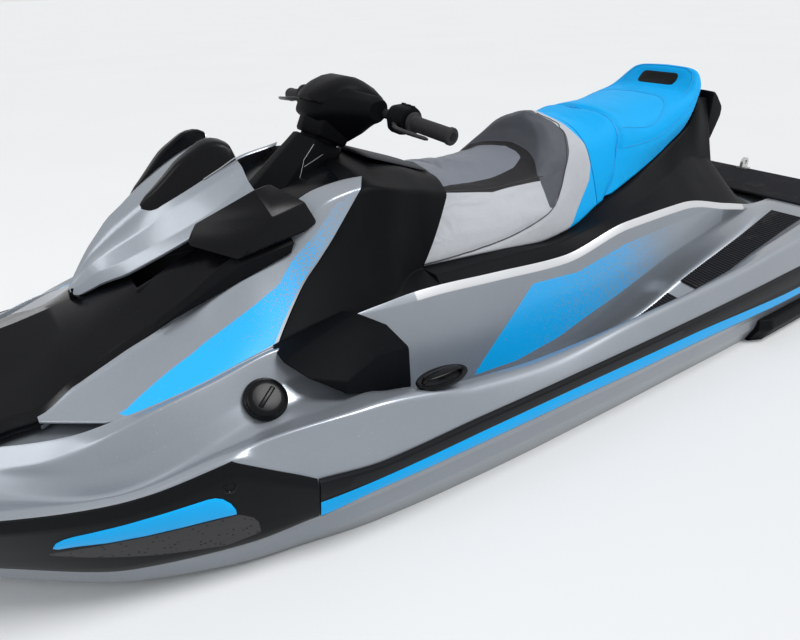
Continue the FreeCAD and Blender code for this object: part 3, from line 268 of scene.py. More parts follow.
# Foot of the console side, set back from the deck edge beside the seat.
LEDGE = Lines("""
    x foot_y foot_z
    40 252 430
    205 252 432
    250 262 434
    300 298 433
    345 332 431
    400 340 437
    550 349 432
    680 350 416
    """)

# Rear edge of the bow skins and front edge of the seat, seen from the side.
CONSOLE_FRONT = ((0.655, 0.405), (0.350, 0.680))
SEAT_FRONT = ((0.226, 0.412), (0.082, 0.610))

# Steering axis: a point on it, its direction and the direction ahead of it.
COLUMN = Vector((0.410, 0, 0.640))
TILT = math.radians(42)
AXIS = Vector((-math.sin(TILT), 0, math.cos(TILT)))
AHEAD = Vector((math.cos(TILT), 0, math.sin(TILT)))


def on_axis(reach, ahead=0.0, y=0.0):
    return COLUMN + AXIS * reach + AHEAD * ahead + Vector((0, y, 0))


# ------------------------------------------------------------------ settings
class CraftSizes(bpy.types.PropertyGroup):
    """Sizes that a user may change."""
    station: bpy.props.FloatProperty(
        name="Station spacing", description="Distance between sections of the long skins",
        default=0.014, min=0.005, max=0.05, unit="LENGTH")
    piping: bpy.props.FloatProperty(
        name="Piping", description="Radius of the piping on the front seat",
        default=0.0017, min=0.001, max=0.006, unit="LENGTH")
    rib_pitch: bpy.props.FloatProperty(
        name="Mat ribs", description="Distance between the ribs of the traction mats",
        default=0.011, min=0.004, max=0.03, unit="LENGTH")
    mat_thickness: bpy.props.FloatProperty(
        name="Mat thickness", description="Height of the traction mats over the deck",
        default=0.0078, min=0.003, max=0.015, unit="LENGTH")
    swell: bpy.props.FloatProperty(
        name="Seat swell", description="How far the cushions may swell between their seams",
        default=0.006, min=0.0, max=0.012, unit="LENGTH")


def colour_property(name, description, default):
    return bpy.props.FloatVectorProperty(
        name=name, description=description, default=default, subtype="COLOR",
        size=3, min=0.0, max=1.0)


class CraftColours(bpy.types.PropertyGroup):
    """Colours that a user may change."""
    silver: colour_property("Silver", "Gelcoat of hull, deck and hood", (0.275, 0.30, 0.335))
    # Painted highlight: the light silver of the strip along the chamfer on top of the hump.
    highlight_silver: colour_property("Pale silver", "Painted highlight along the top of the hump", (0.62, 0.63, 0.65))
    blue: colour_property("Blue", "Stripes, inserts and rear seat", (0.0, 0.44, 0.95))
    black: colour_property("Black", "Moulded trim", (0.003, 0.0034, 0.0045))
    seat_side: colour_property("Seat side", "Light vinyl of the front seat", (0.52, 0.54, 0.57))
    seat_top: colour_property("Seat top", "Darker vinyl of the saddle", (0.085, 0.092, 0.108))


def sizes():
    return bpy.context.scene.craft_sizes


def colours():
    return bpy.context.scene.craft_colours


class Step:
    """One step of the build, which runs its jobs in order."""
    jobs = ()

    def execute(self, context):
        for job in self.jobs:
            job()
        return {"FINISHED"}


# ------------------------------------------------------------------ mesh tools
# A rounded corner takes up at most this share of a side.
ARC_SHARE = 0.47


def rounded(points, cuts, steps=4, closed=False, fill=None):
    """Outline with its corners turned into short arcs; a cut is where the arc starts.

    fill gives how many extra points lie on the run after a corner.
    """
    points = np.asarray(points, float)
    count = len(points)
    if np.isscalar(cuts):
        cuts = [cuts] * count
    arcs = []
    for i in range(count):
        if not closed and i in (0, count - 1):
            arcs.append([points[i]])
            continue
        here = points[i]
        back, on = points[i - 1] - here, points[(i + 1) % count] - here
        near, far = max(np.linalg.norm(back), 1e-9), max(np.linalg.norm(on), 1e-9)
        start = here + back / near * min(cuts[i], near * ARC_SHARE)
        end = here + on / far * min(cuts[i], far * ARC_SHARE)
        arcs.append([(1 - t) ** 2 * start + 2 * t * (1 - t) * here + t * t * end
                     for t in (k / steps for k in range(steps + 1))])
    out = []
    for i, arc in enumerate(arcs):
        out.extend(arc)
        extra = (fill or {}).get(i, 0)
        start, end = arc[-1], arcs[(i + 1) % count][0]
        out.extend(start + (end - start) * (k + 1) / (extra + 1) for k in range(extra))
    return np.array(out)


def lanes_of(count, steps=4, fill=None):
    """Where each point of an open rounded outline lies: 2.5 is halfway from corner 2 to 3."""
    out = []
    for i in range(count):
        out.extend([i] if i in (0, count - 1) else np.linspace(i - 0.2, i + 0.2, steps + 1))
        out.extend(np.linspace(i + 0.2, i + 0.8, (fill or {}).get(i, 0) + 2)[1:-1])
    return out


def spline(points, steps=5):
    """Smooth curve through points, evenly divided between them."""
    points = np.asarray(points, float)
    ends = np.vstack([2 * points[0] - points[1], points, 2 * points[-1] - points[-2]])
    out = []
    for i in range(1, len(ends) - 2):
        a, b, c, d = ends[i - 1:i + 3]
        for k in range(steps):
            t = k / steps
            out.append(0.5 * (2 * b + (c - a) * t + (2 * a - 5 * b + 4 * c - d) * t * t
                              + (3 * b - a - 3 * c + d) * t ** 3))
    out.append(points[-1])
    return np.array(out)


def stations(first, last, *extra):
    count = max(2, int(round((last - first) / sizes().station)) + 1)
    found = list(np.linspace(first, last, count)) + list(extra)
    return sorted(set(round(float(x), 5) for x in found))


def placed(x, outline):
    """Points of a section at station x."""
    return [(x, y, z) for y, z in outline]


def new_object(name, mesh):
    obj = bpy.data.objects.new(name, mesh)
    bpy.context.scene.collection.objects.link(obj)
    return obj


def smooth(obj, angle=32):
    obj.data.shade_smooth()
    obj.data.set_sharp_from_angle(angle=math.radians(angle))
    return obj


@contextlib.contextmanager
def edited(obj):
    """The mesh of an object, open for editing."""
    bm = bmesh.new()
    bm.from_mesh(obj.data)
    yield bm
    bm.to_mesh(obj.data)
    bm.free()


def from_bmesh(name, bm, angle=32):
    bmesh.ops.remove_doubles(bm, verts=bm.verts, dist=2e-5)
    bmesh.ops.recalc_face_normals(bm, faces=bm.faces)
    mesh = bpy.data.meshes.new(name)
    bm.to_mesh(mesh)
    bm.free()
    return smooth(new_object(name, mesh), angle)


def skin(name, rings, closed=False, ends=False, mirror=False, lanes=None, angle=32):
    """Mesh over sections that all have the same count of points."""
    bm = bmesh.new()
    lane = bm.verts.layers.float.new("lane")
    count = len(rings[0])
    span = count if closed else count - 1
    for side in ((1, -1) if mirror else (1,)):
        grid = []
        for ring in rings:
            row = []
            for j, (x, y, z) in enumerate(ring):
                vert = bm.verts.new((x, side * y, z))
                vert[lane] = lanes[j] if lanes is not None else 0.0
                row.append(vert)
            grid.append(row)
        for low, high in zip(grid, grid[1:]):
            for j in range(span):
                k = (j + 1) % count
                bm.faces.new((low[j], low[k], high[k], high[j]))
        if ends:
            bm.faces.new(grid[0])
            bm.faces.new(grid[-1])
    return from_bmesh(name, bm, angle)


def solid(name, rings, mirror=False, angle=32):
    """Closed piece over closed sections, with both ends filled."""
    return skin(name, rings, closed=True, ends=True, mirror=mirror, angle=angle)


def whole(half):
    """Full ring from one side's points, which run from the middle outwards and back."""
    return [tuple(p) for p in half] + [(p[0], -p[1], p[2]) for p in reversed(half)
                                       if abs(p[1]) > 1e-6]


def baked(obj):
    """Applies the modifiers."""
    graph = bpy.context.evaluated_depsgraph_get()
    source = obj.evaluated_get(graph)
    mesh = bpy.data.meshes.new_from_object(source, preserve_all_data_layers=True, depsgraph=graph)
    obj.modifiers.clear()
    old = obj.data
    obj.data = mesh
    bpy.data.meshes.remove(old)
    return obj


def carve(obj, *cutters):
    """Cuts other closed objects out of obj and removes them."""
    for cutter in cutters:
        step = obj.modifiers.new("Carve", "BOOLEAN")
        step.operation = "DIFFERENCE"
        step.solver = "EXACT"
        step.object = cutter
    bpy.context.view_layer.update()
    baked(obj)
    for cutter in cutters:
        bpy.data.objects.remove(cutter)
    return smooth(obj)


def block(low, high):
    """Plain box, used as a cutter."""
    bm = bmesh.new()
    size = [b - a for a, b in zip(low, high)]
    middle = [(a + b) / 2 for a, b in zip(low, high)]
    place = Matrix.Translation(middle) @ Matrix.Diagonal((*size, 1))
    bmesh.ops.create_cube(bm, size=1.0, matrix=place)
    return from_bmesh("Block", bm)


def trim(obj, point, normal):
    """Cuts away what lies on the normal's side of a plane and closes the cut."""
    with edited(obj) as bm:
        bmesh.ops.bisect_plane(bm, geom=bm.verts[:] + bm.edges[:] + bm.faces[:], dist=1e-6,
                               plane_co=point, plane_no=normal, clear_outer=True)
        bmesh.ops.holes_fill(bm, edges=[edge for edge in bm.edges if edge.is_boundary], sides=0)
    return smooth(obj)


def trim_line(obj, line, gap, keep_ahead):
    """Trims by a plane across the craft that a slanted line shows from the side."""
    (x0, z0), (x1, z1) = line
    along = Vector((x1 - x0, 0, z1 - z0)).normalized()
    kept = Vector((along.z, 0, -along.x)) * (1 if keep_ahead else -1)
    return trim(obj, Vector((x0, 0, z0)) + kept * gap, -kept)


def bevelled(obj, width, segments=3, angle=30):
    step = obj.modifiers.new("Edges", "BEVEL")
    step.width = width
    step.segments = segments
    step.limit_method = "ANGLE"
    step.angle_limit = math.radians(angle)
    bpy.context.view_layer.update()
    return smooth(baked(obj), 40)


def faceted(name, points, bevel=0.003, segments=3, mirror=False):
    """Closed trim piece over its corner points, with rounded edges."""
    bm = bmesh.new()
    verts = [bm.verts.new(p) for p in points]
    result = bmesh.ops.convex_hull(bm, input=verts)
    spare = [v for v in result["geom_interior"] if isinstance(v, bmesh.types.BMVert)]
    bmesh.ops.delete(bm, geom=list(set(spare)), context="VERTS")
    bmesh.ops.dissolve_limit(bm, angle_limit=math.radians(2), verts=bm.verts, edges=bm.edges)
    obj = bevelled(from_bmesh(name, bm), bevel, segments, 18)
    return mirrored(obj) if mirror else obj


def box_corners(x, half_x, y, half_y, heights):
    return [(x + a, y + b, z) for a in (-half_x, half_x) for b in (-half_y, half_y) for z in heights]


def mirrored(obj):
    """Adds the starboard copy to a port piece."""
    with edited(obj) as bm:
        extra = bmesh.ops.duplicate(bm, geom=bm.verts[:] + bm.edges[:] + bm.faces[:])["geom"]
        for item in extra:
            if isinstance(item, bmesh.types.BMVert):
                item.co.y = -item.co.y
        bmesh.ops.reverse_faces(bm, faces=[f for f in extra if isinstance(f, bmesh.types.BMFace)])
    return smooth(obj, 40)


def joined(name, objects):
    """One object from several, made of the same stuff."""
    bm = bmesh.new()
    for obj in objects:
        bm.from_mesh(obj.data)
    mesh = bpy.data.meshes.new(name)
    bm.to_mesh(mesh)
    bm.free()
    for obj in objects:
        bpy.data.objects.remove(obj)
    return smooth(new_object(name, mesh), 40)


def turns(count):
    """Angles that share out a full turn."""
    return [2 * math.pi * k / count for k in range(count)]


def tube(name, path, radius, sides, squash=1.0):
    """Round bar along a path; radius is one value or one a point."""
    path = [Vector(p) for p in path]
    radii = [radius] * len(path) if np.isscalar(radius) else radius
    rings, side = [], None
    for here, last, after, size in zip(path, path[:1] + path, path[1:] + path[-1:], radii):
        along = (after - last).normalized()
        if side is None:
            side = along.orthogonal().normalized()
        side = (side - along * side.dot(along)).normalized()
        other = along.cross(side)
        rings.append([tuple(here + (side * math.cos(a) + other * math.sin(a) * squash) * size)
                      for a in turns(sides)])
    return solid(name, rings, angle=50)


def lathe(name, profile, place, direction, sides=48):
    """Body of revolution; profile is (radius, height) pairs along a direction."""
    up = Vector(direction).normalized()
    side = up.orthogonal().normalized()
    other = up.cross(side)
    rings = []
    for radius, height in profile:
        centre = Vector(place) + up * height
        rings.append([tuple(centre + (side * math.cos(a) + other * math.sin(a)) * max(radius, 1e-5))
                      for a in turns(sides)])
    return solid(name, rings, angle=35)


def coordinates(obj, kind="co"):
    found = np.zeros(len(obj.data.vertices) * 3)
    obj.data.vertices.foreach_get(kind, found)
    return found.reshape(-1, 3)


def inside(u, v, outline):
    """Distance in metres to a closed outline, positive inside it."""
    outline = np.asarray(outline, float)
    best = np.full(len(u), 1e9)
    within = np.zeros(len(u), bool)
    for (au, av), (bu, bv) in zip(outline, np.roll(outline, -1, axis=0)):
        eu, ev = bu - au, bv - av
        t = np.clip(((u - au) * eu + (v - av) * ev) / (eu * eu + ev * ev), 0, 1)
        best = np.minimum(best, np.hypot(u - au - t * eu, v - av - t * ev))
        if ev != 0:
            crossing = ((av > v) != (bv > v)) & (u < eu * (v - av) / ev + au)
            within ^= crossing
    return np.where(within, best, -best)


def mark(obj, name, values):
    """Stores one number at each vertex for the materials."""
    layer = obj.data.attributes.get(name) or obj.data.attributes.new(name, "FLOAT", "POINT")
    layer.data.foreach_set("value", np.asarray(values, np.float32))


def mark_side(obj, name, outline):
    """Marks the distance to an outline seen from the side."""
    co = coordinates(obj)
    mark(obj, name, inside(co[:, 0], co[:, 2], outline))


def surface_of(obj):
    return BVHTree.FromObject(obj, bpy.context.evaluated_depsgraph_get())


def laid(points, target, lift):
    """Points put down on a surface, a little above it."""
    found = (target.find_nearest(Vector(point)) for point in points)
    return [place + normal * lift for place, normal, *_ in found]


def stuff(name):
    return bpy.data.materials[FINISH + name]


def finish(obj, name, body, *nodes):
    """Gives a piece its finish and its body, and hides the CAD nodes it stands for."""
    obj.data.materials.clear()
    obj.data.materials.append(stuff(name))
    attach(obj, body)
    if nodes:
        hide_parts(*nodes)


# ------------------------------------------------------------------ finishes
def operation(name, swapped=False):
    """Method that adds a Math node for two values."""
    def run(self, other):
        first, second = (other, self) if swapped else (self, other)
        return self.paint.node("ShaderNodeMath", {"operation": name}, {0: first, 1: second})
    return run


class Value:
    """Output of a node; arithmetic on it adds the Math nodes."""

    def __init__(self, paint, socket):
        self.paint = paint
        self.socket = socket

    __add__, __radd__ = operation("ADD"), operation("ADD", True)
    __sub__, __rsub__ = operation("SUBTRACT"), operation("SUBTRACT", True)
    __mul__, __rmul__ = operation("MULTIPLY"), operation("MULTIPLY", True)
    __lt__, __gt__ = operation("LESS_THAN"), operation("GREATER_THAN")


class Paint:
    """One finish: a material and the nodes that make it."""

    def __init__(self, name):
        self.material = bpy.data.materials.new(FINISH + name)
        self.material.use_nodes = True
        self.tree = self.material.node_tree
        self.tree.nodes.clear()
        self.place = self.node("ShaderNodeTexCoord", give="Object")

    def node(self, kind, settings=None, inputs=None, give=0):
        """Adds a node: its type, its settings, and the values or links of its sockets."""
        node = self.tree.nodes.new(kind)
        for key, value in (settings or {}).items():
            setattr(node, key, value)
        for key, value in (inputs or {}).items():
            socket = node.inputs[key]
            if isinstance(value, Value):
                self.tree.links.new(value.socket, socket)
            elif socket.type == "RGBA":
                socket.default_value = (*tuple(value)[:3], 1.0)
            else:
                socket.default_value = value
        return Value(self, node.outputs[give]) if node.outputs else None

    def mix(self, factor, low, high):
        return self.node("ShaderNodeMix", {"data_type": "RGBA"}, {0: factor, 6: low, 7: high}, give=2)

    def steps(self, value, low, high, start=0.0, end=1.0):
        """Smooth rise from start to end while a value goes from low to high."""
        return self.node("ShaderNodeMapRange", {"interpolation_type": "SMOOTHSTEP"},
                         {"Value": value, "From Min": low, "From Max": high,
                          "To Min": start, "To Max": end})

    def noise(self, scale, detail=3.0, rough=0.5, stretch=None):
        where = self.stretched(stretch) if stretch else self.place
        return self.node("ShaderNodeTexNoise", None,
                         {"Vector": where, "Scale": scale, "Detail": detail, "Roughness": rough})

    def stretched(self, scale):
        return self.node("ShaderNodeMapping", None, {"Vector": self.place, "Scale": scale})

    def axis(self, name):
        return self.node("ShaderNodeSeparateXYZ", None, {"Vector": self.place}, give=name)

    def dots(self, scale, size, share):
        """Small round spots scattered over a share of the cells."""
        cells = {"Vector": self.place, "Scale": scale}
        away = self.node("ShaderNodeTexVoronoi", None, cells, give="Distance")
        tint = self.node("ShaderNodeTexVoronoi", None, cells, give="Color")
        pick = self.node("ShaderNodeSeparateColor", None, {"Color": tint})
        return self.steps(away, size, size * 0.6) * (pick < share)

    def patches(self, scale, detail, rough, low, high, stretch=None):
        """Mask of soft-edged patches of noise."""
        return self.steps(self.noise(scale, detail, rough, stretch), low, high)

    def cloudy(self, scale, detail, rough, colour, low, high):
        """Colour that drifts between two shades of itself."""
        return self.mix(self.noise(scale, detail, rough), dyed(colour, low), dyed(colour, high))

    def raw(self, name):
        return self.node("ShaderNodeAttribute", {"attribute_name": name}, give="Fac")

    def marked(self, name, width=0.0007):
        """Mask that is 1 where the piece's mark is above zero."""
        return self.steps(self.raw(name), -width, width)

    def bump(self, height, distance, strength, over=None):
        inputs = {"Height": height, "Distance": distance, "Strength": strength}
        if over is not None:
            inputs["Normal"] = over
        return self.node("ShaderNodeBump", None, inputs)

    def surface(self, colour, roughness, metallic=0.0, normal=None, specular=0.5, coat=0.0,
                coat_roughness=0.08):
        inputs = {"Base Color": colour, "Roughness": roughness, "Metallic": metallic,
                  "Specular IOR Level": specular, "Coat Weight": coat,
                  "Coat Roughness": coat_roughness}
        if normal is not None:
            inputs["Normal"] = normal
        shader = self.node("ShaderNodeBsdfPrincipled", None, inputs)
        self.node("ShaderNodeOutputMaterial", None, {"Surface": shader})
        return self.material


def dyed(colour, factor, more=0.0):
    """Lighter or darker shade of a colour."""
    return tuple(min(1.0, c * factor + more) for c in colour)


GLOSSY = 0.27
METALLIC = 0.45


def gelcoat(name, base, graphic=None, coat=0.35, coat_roughness=0.08):
    """Metallic gelcoat: flake, faint cloudiness, dried salt and hairline scuffs.

    A graphic gives the new colour, the roughness and the metallic share.
    """
    paint = Paint(name)
    colour, rough, metallic = paint.cloudy(3.5, 4.0, 0.6, base, 0.86, 1.1), GLOSSY, METALLIC
    colour = paint.mix(paint.patches(2600, 1.0, 0.5, 0.56, 0.74), colour, dyed(base, 1.45))
    if graphic is not None:
        colour, rough, metallic = graphic(paint, colour)
    salt = paint.dots(150, 0.16, 0.22) * paint.patches(6, 2.0, 0.5, 0.48, 0.66)
    colour = paint.mix(salt * 0.35, colour, (0.86, 0.87, 0.88))
    scuff = paint.patches(26, 8.0, 0.8, 0.66, 0.78, (0.25, 1, 1))
    colour = paint.mix(scuff * 0.12, colour, (0.22, 0.22, 0.22))
    rough = rough + paint.noise(9, 4.0, 0.6) * 0.10 + salt * 0.25 + scuff * 0.14
    height = paint.noise(420, 2.0, 0.5) * 0.35 + salt * 0.6
    return paint.surface(colour, rough, metallic, paint.bump(height, 0.00022, 0.55), coat=coat,
                         coat_roughness=coat_roughness)


def blue_graphic(mark_name, border=None):
    """Blue field that breaks up into fine dots where it fades away, with a light silver strip of painted
    highlight.
    """
    def graphic(paint, colour):
        mask, fade = paint.marked(mark_name), paint.raw("fade")
        spot = paint.node("ShaderNodeTexVoronoi", None, {"Vector": paint.place, "Scale": 420.0},
                          give="Distance")
        grain = spot * 0.8 + paint.noise(900, 1.0, 0.5) * 0.35
        blue = mask * paint.steps(grain, fade + 0.10, fade - 0.06)
        colour = paint.mix(blue, colour, colours().blue)
        # Painted highlight: a light silver strip where the chamfer on top of the hump faces the light.
        if border:
            colour = paint.mix(paint.marked(border), colour, colours().highlight_silver)
        return colour, GLOSSY, METALLIC - mask * 0.4
    return graphic


def water_stain(paint, colour):
    """Graphic of the hull, duller and stained where the water stands."""
    line = paint.steps(paint.axis("Z") + paint.noise(7, 3.0, 0.6) * 0.03, 0.055, 0.0)
    return paint.mix(line * 0.45, colour, (0.33, 0.34, 0.31)), GLOSSY + line * 0.2, 0.4


def rail_rubber():
    """Black rail with the blue stripe let into its lower part."""
    paint = Paint("rail_rubber")
    stripe = paint.marked("stripe", 0.0005)
    grain = paint.noise(900, 2.0, 0.6)
    scuff = paint.patches(22, 8.0, 0.8, 0.62, 0.76, (0.3, 1, 1))
    black = paint.mix(grain, (0.004, 0.0045, 0.006), (0.010, 0.011, 0.013))
    black = paint.mix(scuff * 0.2, black, (0.05, 0.05, 0.052))
    colour = paint.mix(stripe, black, paint.cloudy(5, 3.0, 0.5, colours().blue, 0.93, 1.0))
    rough = 0.45 - stripe * 0.15 + scuff * 0.15 + grain * 0.05
    return paint.surface(colour, rough, 0.0, paint.bump(grain, 0.00015, 0.5), specular=0.12)


def moulded(name, colour, grain_scale, grain_depth, rough, specular, patch=0.3):
    """Black moulded plastic: grain, faint patches, scratches and dried salt."""
    paint = Paint(name)
    base = paint.mix(paint.patches(8, 4.0, 0.6, 0.4, 0.7) * patch, colour, dyed(colour, 2.0, 0.003))
    scratch = paint.patches(60, 9.0, 0.85, 0.68, 0.80, (0.12, 1, 1))
    base = paint.mix(scratch * 0.12, base, (0.07, 0.07, 0.072))
    salt = paint.dots(170, 0.13, 0.16) * paint.patches(5, 2.0, 0.5, 0.5, 0.68)
    base = paint.mix(salt * 0.10, base, (0.45, 0.46, 0.47))
    grain = paint.noise(grain_scale, 2.0, 0.6)
    rough = rough + paint.noise(12, 3.0, 0.6) * 0.12 + scratch * 0.12 + salt * 0.2
    normal = paint.bump(grain + salt * 0.5, grain_depth, 0.6)
    return paint.surface(base, rough, 0.0, normal, specular)


def bumper_plastic():
    """Bumper: black, with a pitted grey band under the insert, the pits darkened as painted shade."""
    paint = Paint("bumper_plastic")
    band = paint.marked("band", 0.0012)
    pits_and_shade = paint.dots(120, 0.34, 0.5) * band
    grain = paint.noise(700, 2.0, 0.6)
    black = paint.mix(paint.noise(9, 3.0, 0.6) * 0.4, (0.003, 0.0035, 0.0045), (0.010, 0.011, 0.013))
    grey = paint.mix(grain, (0.035, 0.035, 0.038), (0.075, 0.074, 0.076))
    # Painted shade: the pits are darker than the grey band around them.
    colour = paint.mix(band, black, paint.mix(pits_and_shade, grey, (0.02, 0.02, 0.022)))
    scuff = paint.patches(24, 8.0, 0.8, 0.62, 0.76, (0.3, 0.3, 1))
    colour = paint.mix(scuff * 0.12, colour, (0.06, 0.06, 0.062))
    return paint.surface(colour, 0.36 + grain * 0.08 + band * 0.15, 0.0,
                         paint.bump(grain * 0.4 - pits_and_shade, 0.0003, 0.7), specular=0.1)


def blue_plastic():
    paint = Paint("blue_plastic")
    colour = paint.cloudy(6, 4.0, 0.6, colours().blue, 0.88, 1.04)
    scuff = paint.patches(40, 9.0, 0.85, 0.66, 0.8, (0.2, 1, 1))
    colour = paint.mix(scuff * 0.25, colour, (0.55, 0.65, 0.72))
    normal = paint.bump(paint.noise(600, 2.0, 0.5), 0.00012, 0.5)
    return paint.surface(colour, 0.3 + scuff * 0.2, 0.0, normal, specular=0.2)


def vinyl(name, colour, low, high, layers, specular):
    """Marine vinyl: embossed grain with painted shade in its grooves, soft creases, darker where it is
    worn.

    Each layer is a mark, its strength and its colour.
    """
    paint = Paint(name)
    colour = paint.cloudy(4, 4.0, 0.6, colour, low, high)
    for mark_name, strength, tint in layers:
        colour = paint.mix(paint.marked(mark_name) * strength, colour, tint)
    grain = paint.node("ShaderNodeTexVoronoi", {"feature": "DISTANCE_TO_EDGE"},
                       {"Vector": paint.place, "Scale": 520.0}, give="Distance")
    crease = paint.patches(34, 6.0, 0.7, 0.5, 0.62, (1, 0.6, 1))
    fold = paint.noise(11, 5.0, 0.6)
    worn = paint.patches(5, 5.0, 0.65, 0.52, 0.7)
    colour = paint.mix(worn * 0.16, colour, (0.05, 0.05, 0.05))
    # Painted shade: the grooves between the grain's cells are darkened.
    colour = paint.mix(paint.steps(grain, 0.06, 0.0) * 0.22, colour, (0.02, 0.02, 0.022))
    fine = paint.bump(paint.steps(grain, 0.0, 0.16), 0.00022, 0.7)
    normal = paint.bump(crease * 0.3 + fold, 0.0016, 0.45, fine)
    return paint.surface(colour, 0.44 + worn * 0.1 + fold * 0.12, 0.0, normal, specular)


def front_seat_vinyl():
    """Light sides, darker saddle and bolster, black band, blue boot."""
    top = colours().seat_top
    layers = (("band", 1.0, (0.008, 0.008, 0.010)), ("saddle", 1.0, dyed(top, 2.2)),
              ("bolster", 1.0, top), ("boot", 1.0, colours().blue))
    return vinyl("front_seat_vinyl", colours().seat_side, 0.9, 1.08, layers, 0.2)


def rear_seat_vinyl():
    """Blue vinyl with a slightly lighter insert."""
    layers = (("insert", 0.05, (0.10, 0.62, 1.0)),)
    return vinyl("rear_seat_vinyl", colours().blue, 0.9, 1.03, layers, 0.12)


def piping_vinyl(name, colour):
    paint = Paint(name)
    shade = paint.mix(paint.noise(60, 3.0, 0.6), colour, dyed(colour, 1.6, 0.01))
    return paint.surface(shade, 0.5, 0.0, paint.bump(paint.noise(1400, 2.0, 0.5), 0.0002, 0.6))


def mat_foam():
    """Traction mat: closed-cell foam, dusty between the ribs."""
    paint = Paint("mat_foam")
    pores = paint.noise(1500, 2.0, 0.7)
    colour = paint.mix(pores, (0.006, 0.007, 0.010), (0.020, 0.021, 0.026))
    colour = paint.mix(paint.patches(14, 5.0, 0.7, 0.5, 0.72) * 0.16, colour, (0.16, 0.15, 0.13))
    return paint.surface(colour, 0.82, 0.0, paint.bump(pores, 0.0004, 0.8), specular=0.25)


def grip_rubber():
    paint = Paint("grip_rubber")
    pores = paint.noise(1200, 2.0, 0.6)
    worn = paint.patches(20, 4.0, 0.6, 0.55, 0.72)
    colour = paint.mix(pores, (0.008, 0.008, 0.009), (0.022, 0.022, 0.024))
    colour = paint.mix(worn * 0.3, colour, (0.05, 0.05, 0.052))
    return paint.surface(colour, 0.62 - worn * 0.15, 0.0, paint.bump(pores, 0.0003, 0.7), specular=0.3)


def metal(name, colour, rough, stretch, metallic=1.0, stain=(0.3, 0.29, 0.27)):
    """Bare or painted metal with fine tool marks and water stains."""
    paint = Paint(name)
    lines = paint.noise(220, 4.0, 0.7, stretch)
    spots = paint.patches(18, 6.0, 0.7, 0.56, 0.74)
    base = paint.mix(spots * 0.3, paint.mix(lines, dyed(colour, 0.86), dyed(colour, 1.08)), stain)
    rough = rough + lines * 0.12 + spots * 0.18
    return paint.surface(base, rough, metallic, paint.bump(lines, 0.0002, 0.5))


def looking_glass():
    paint = Paint("looking_glass")
    film = paint.patches(30, 5.0, 0.7, 0.5, 0.8)
    colour = paint.mix(film * 0.2, (0.86, 0.88, 0.9), (0.6, 0.62, 0.63))
    return paint.surface(colour, 0.03 + film * 0.12, 1.0, paint.bump(film, 0.00005, 0.3))


def make_finishes():
    for make in (rail_rubber, bumper_plastic, blue_plastic, front_seat_vinyl, rear_seat_vinyl, mat_foam,
                 grip_rubber, looking_glass):
        make()
    moulded("black_gloss", colours().black, 900, 0.00006, 0.20, 0.14, 0.12)
    moulded("black_trim", (0.0035, 0.004, 0.005), 620, 0.0003, 0.42, 0.06, 0.15)
    moulded("black_soft", (0.003, 0.0035, 0.0045), 480, 0.0004, 0.5, 0.05, 0.15)
    moulded("grey_trim", (0.016, 0.018, 0.022), 520, 0.0004, 0.5, 0.15)
    moulded("tub_plastic", (0.010, 0.011, 0.013), 380, 0.0005, 0.58, 0.12)
    piping_vinyl("dark_piping", (0.012, 0.012, 0.014))
    piping_vinyl("blue_piping", dyed(colours().blue, 0.55))
    metal("bar_paint", (0.02, 0.02, 0.022), 0.36, (1, 0.1, 1), 0.2, (0.08, 0.07, 0.06))
    metal("engine_paint", (0.16, 0.165, 0.17), 0.45, (1, 1, 1), 0.3, (0.1, 0.09, 0.08))
    metal("stainless_steel", (0.62, 0.62, 0.61), 0.24, (0.15, 1, 1))
    metal("cast_aluminium", (0.55, 0.56, 0.57), 0.42, (1, 1, 1), 0.9)
    # Bright metal of the column's accent lines, and of the strips of painted highlight on the mirror
    # housings.
    metal("bright_accent_and_highlight", (0.50, 0.51, 0.53), 0.25, (0.2, 1, 1), 0.8)
    silver = colours().silver
    gelcoat("silver_gelcoat", silver)
    gelcoat("deck_gelcoat", silver, blue_graphic("field", "border"))
    gelcoat("panel_gelcoat", silver, blue_graphic("wedge"))
    # Painted shade: the hull's silver is the deck's silver darkened to 0.92.
    gelcoat("hull_gelcoat", dyed(silver, 0.92), water_stain, 0.3, 0.12)


# ------------------------------------------------------------------ stage
def make_camera():
    data = bpy.data.cameras.new("Camera")
    data.sensor_width, data.lens, data.clip_end = 36.0, 29.025, 500
    turn, dip, lean = -2.151991, 0.4852015, -0.0296706
    ahead = Vector((math.cos(turn) * math.cos(dip), math.sin(turn) * math.cos(dip), -math.sin(dip)))
    right = ahead.cross(UP).normalized()
    up = right.cross(ahead)
    side = right * math.cos(lean) + up * math.sin(lean)
    top = up * math.cos(lean) - right * math.sin(lean)
    axes = Matrix((side, top, -ahead)).transposed().to_4x4()
    camera = new_object("Camera", data)
    camera.matrix_world = Matrix.Translation((1.059, 1.433, 1.057)) @ axes
    bpy.context.scene.camera = camera


def make_floor():
    bm = bmesh.new()
    bmesh.ops.create_grid(bm, x_segments=24, y_segments=24, size=90)
    floor = from_bmesh("Floor", bm)
    paint = Paint("floor")
    colour = paint.mix(paint.noise(0.7, 4.0, 0.6), (0.80, 0.81, 0.81), (0.84, 0.845, 0.845))
    floor.data.materials.append(paint.surface(colour, 0.75, specular=0.1))


def make_lamp(name, kind, place, aim, energy, **settings):
    data = bpy.data.lights.new(name, kind)
    data.energy = energy
    for key, value in settings.items():
        setattr(data, key, value)
    lamp = new_object(name, data)
    lamp.location = place
    lamp.rotation_euler = (Vector(aim) - Vector(place)).to_track_quat("-Z", "Y").to_euler()


def make_lamps():
    make_lamp("Sun", "SUN", (-1.5, 1.6, 3.6), (0, 0, 0), 2.2, angle=math.radians(24))
    make_lamp("Bow", "AREA", (3.6, 0.6, 2.6), (0.6, 0, 0.4), 26, shape="RECTANGLE", size=1.6, size_y=1.6)


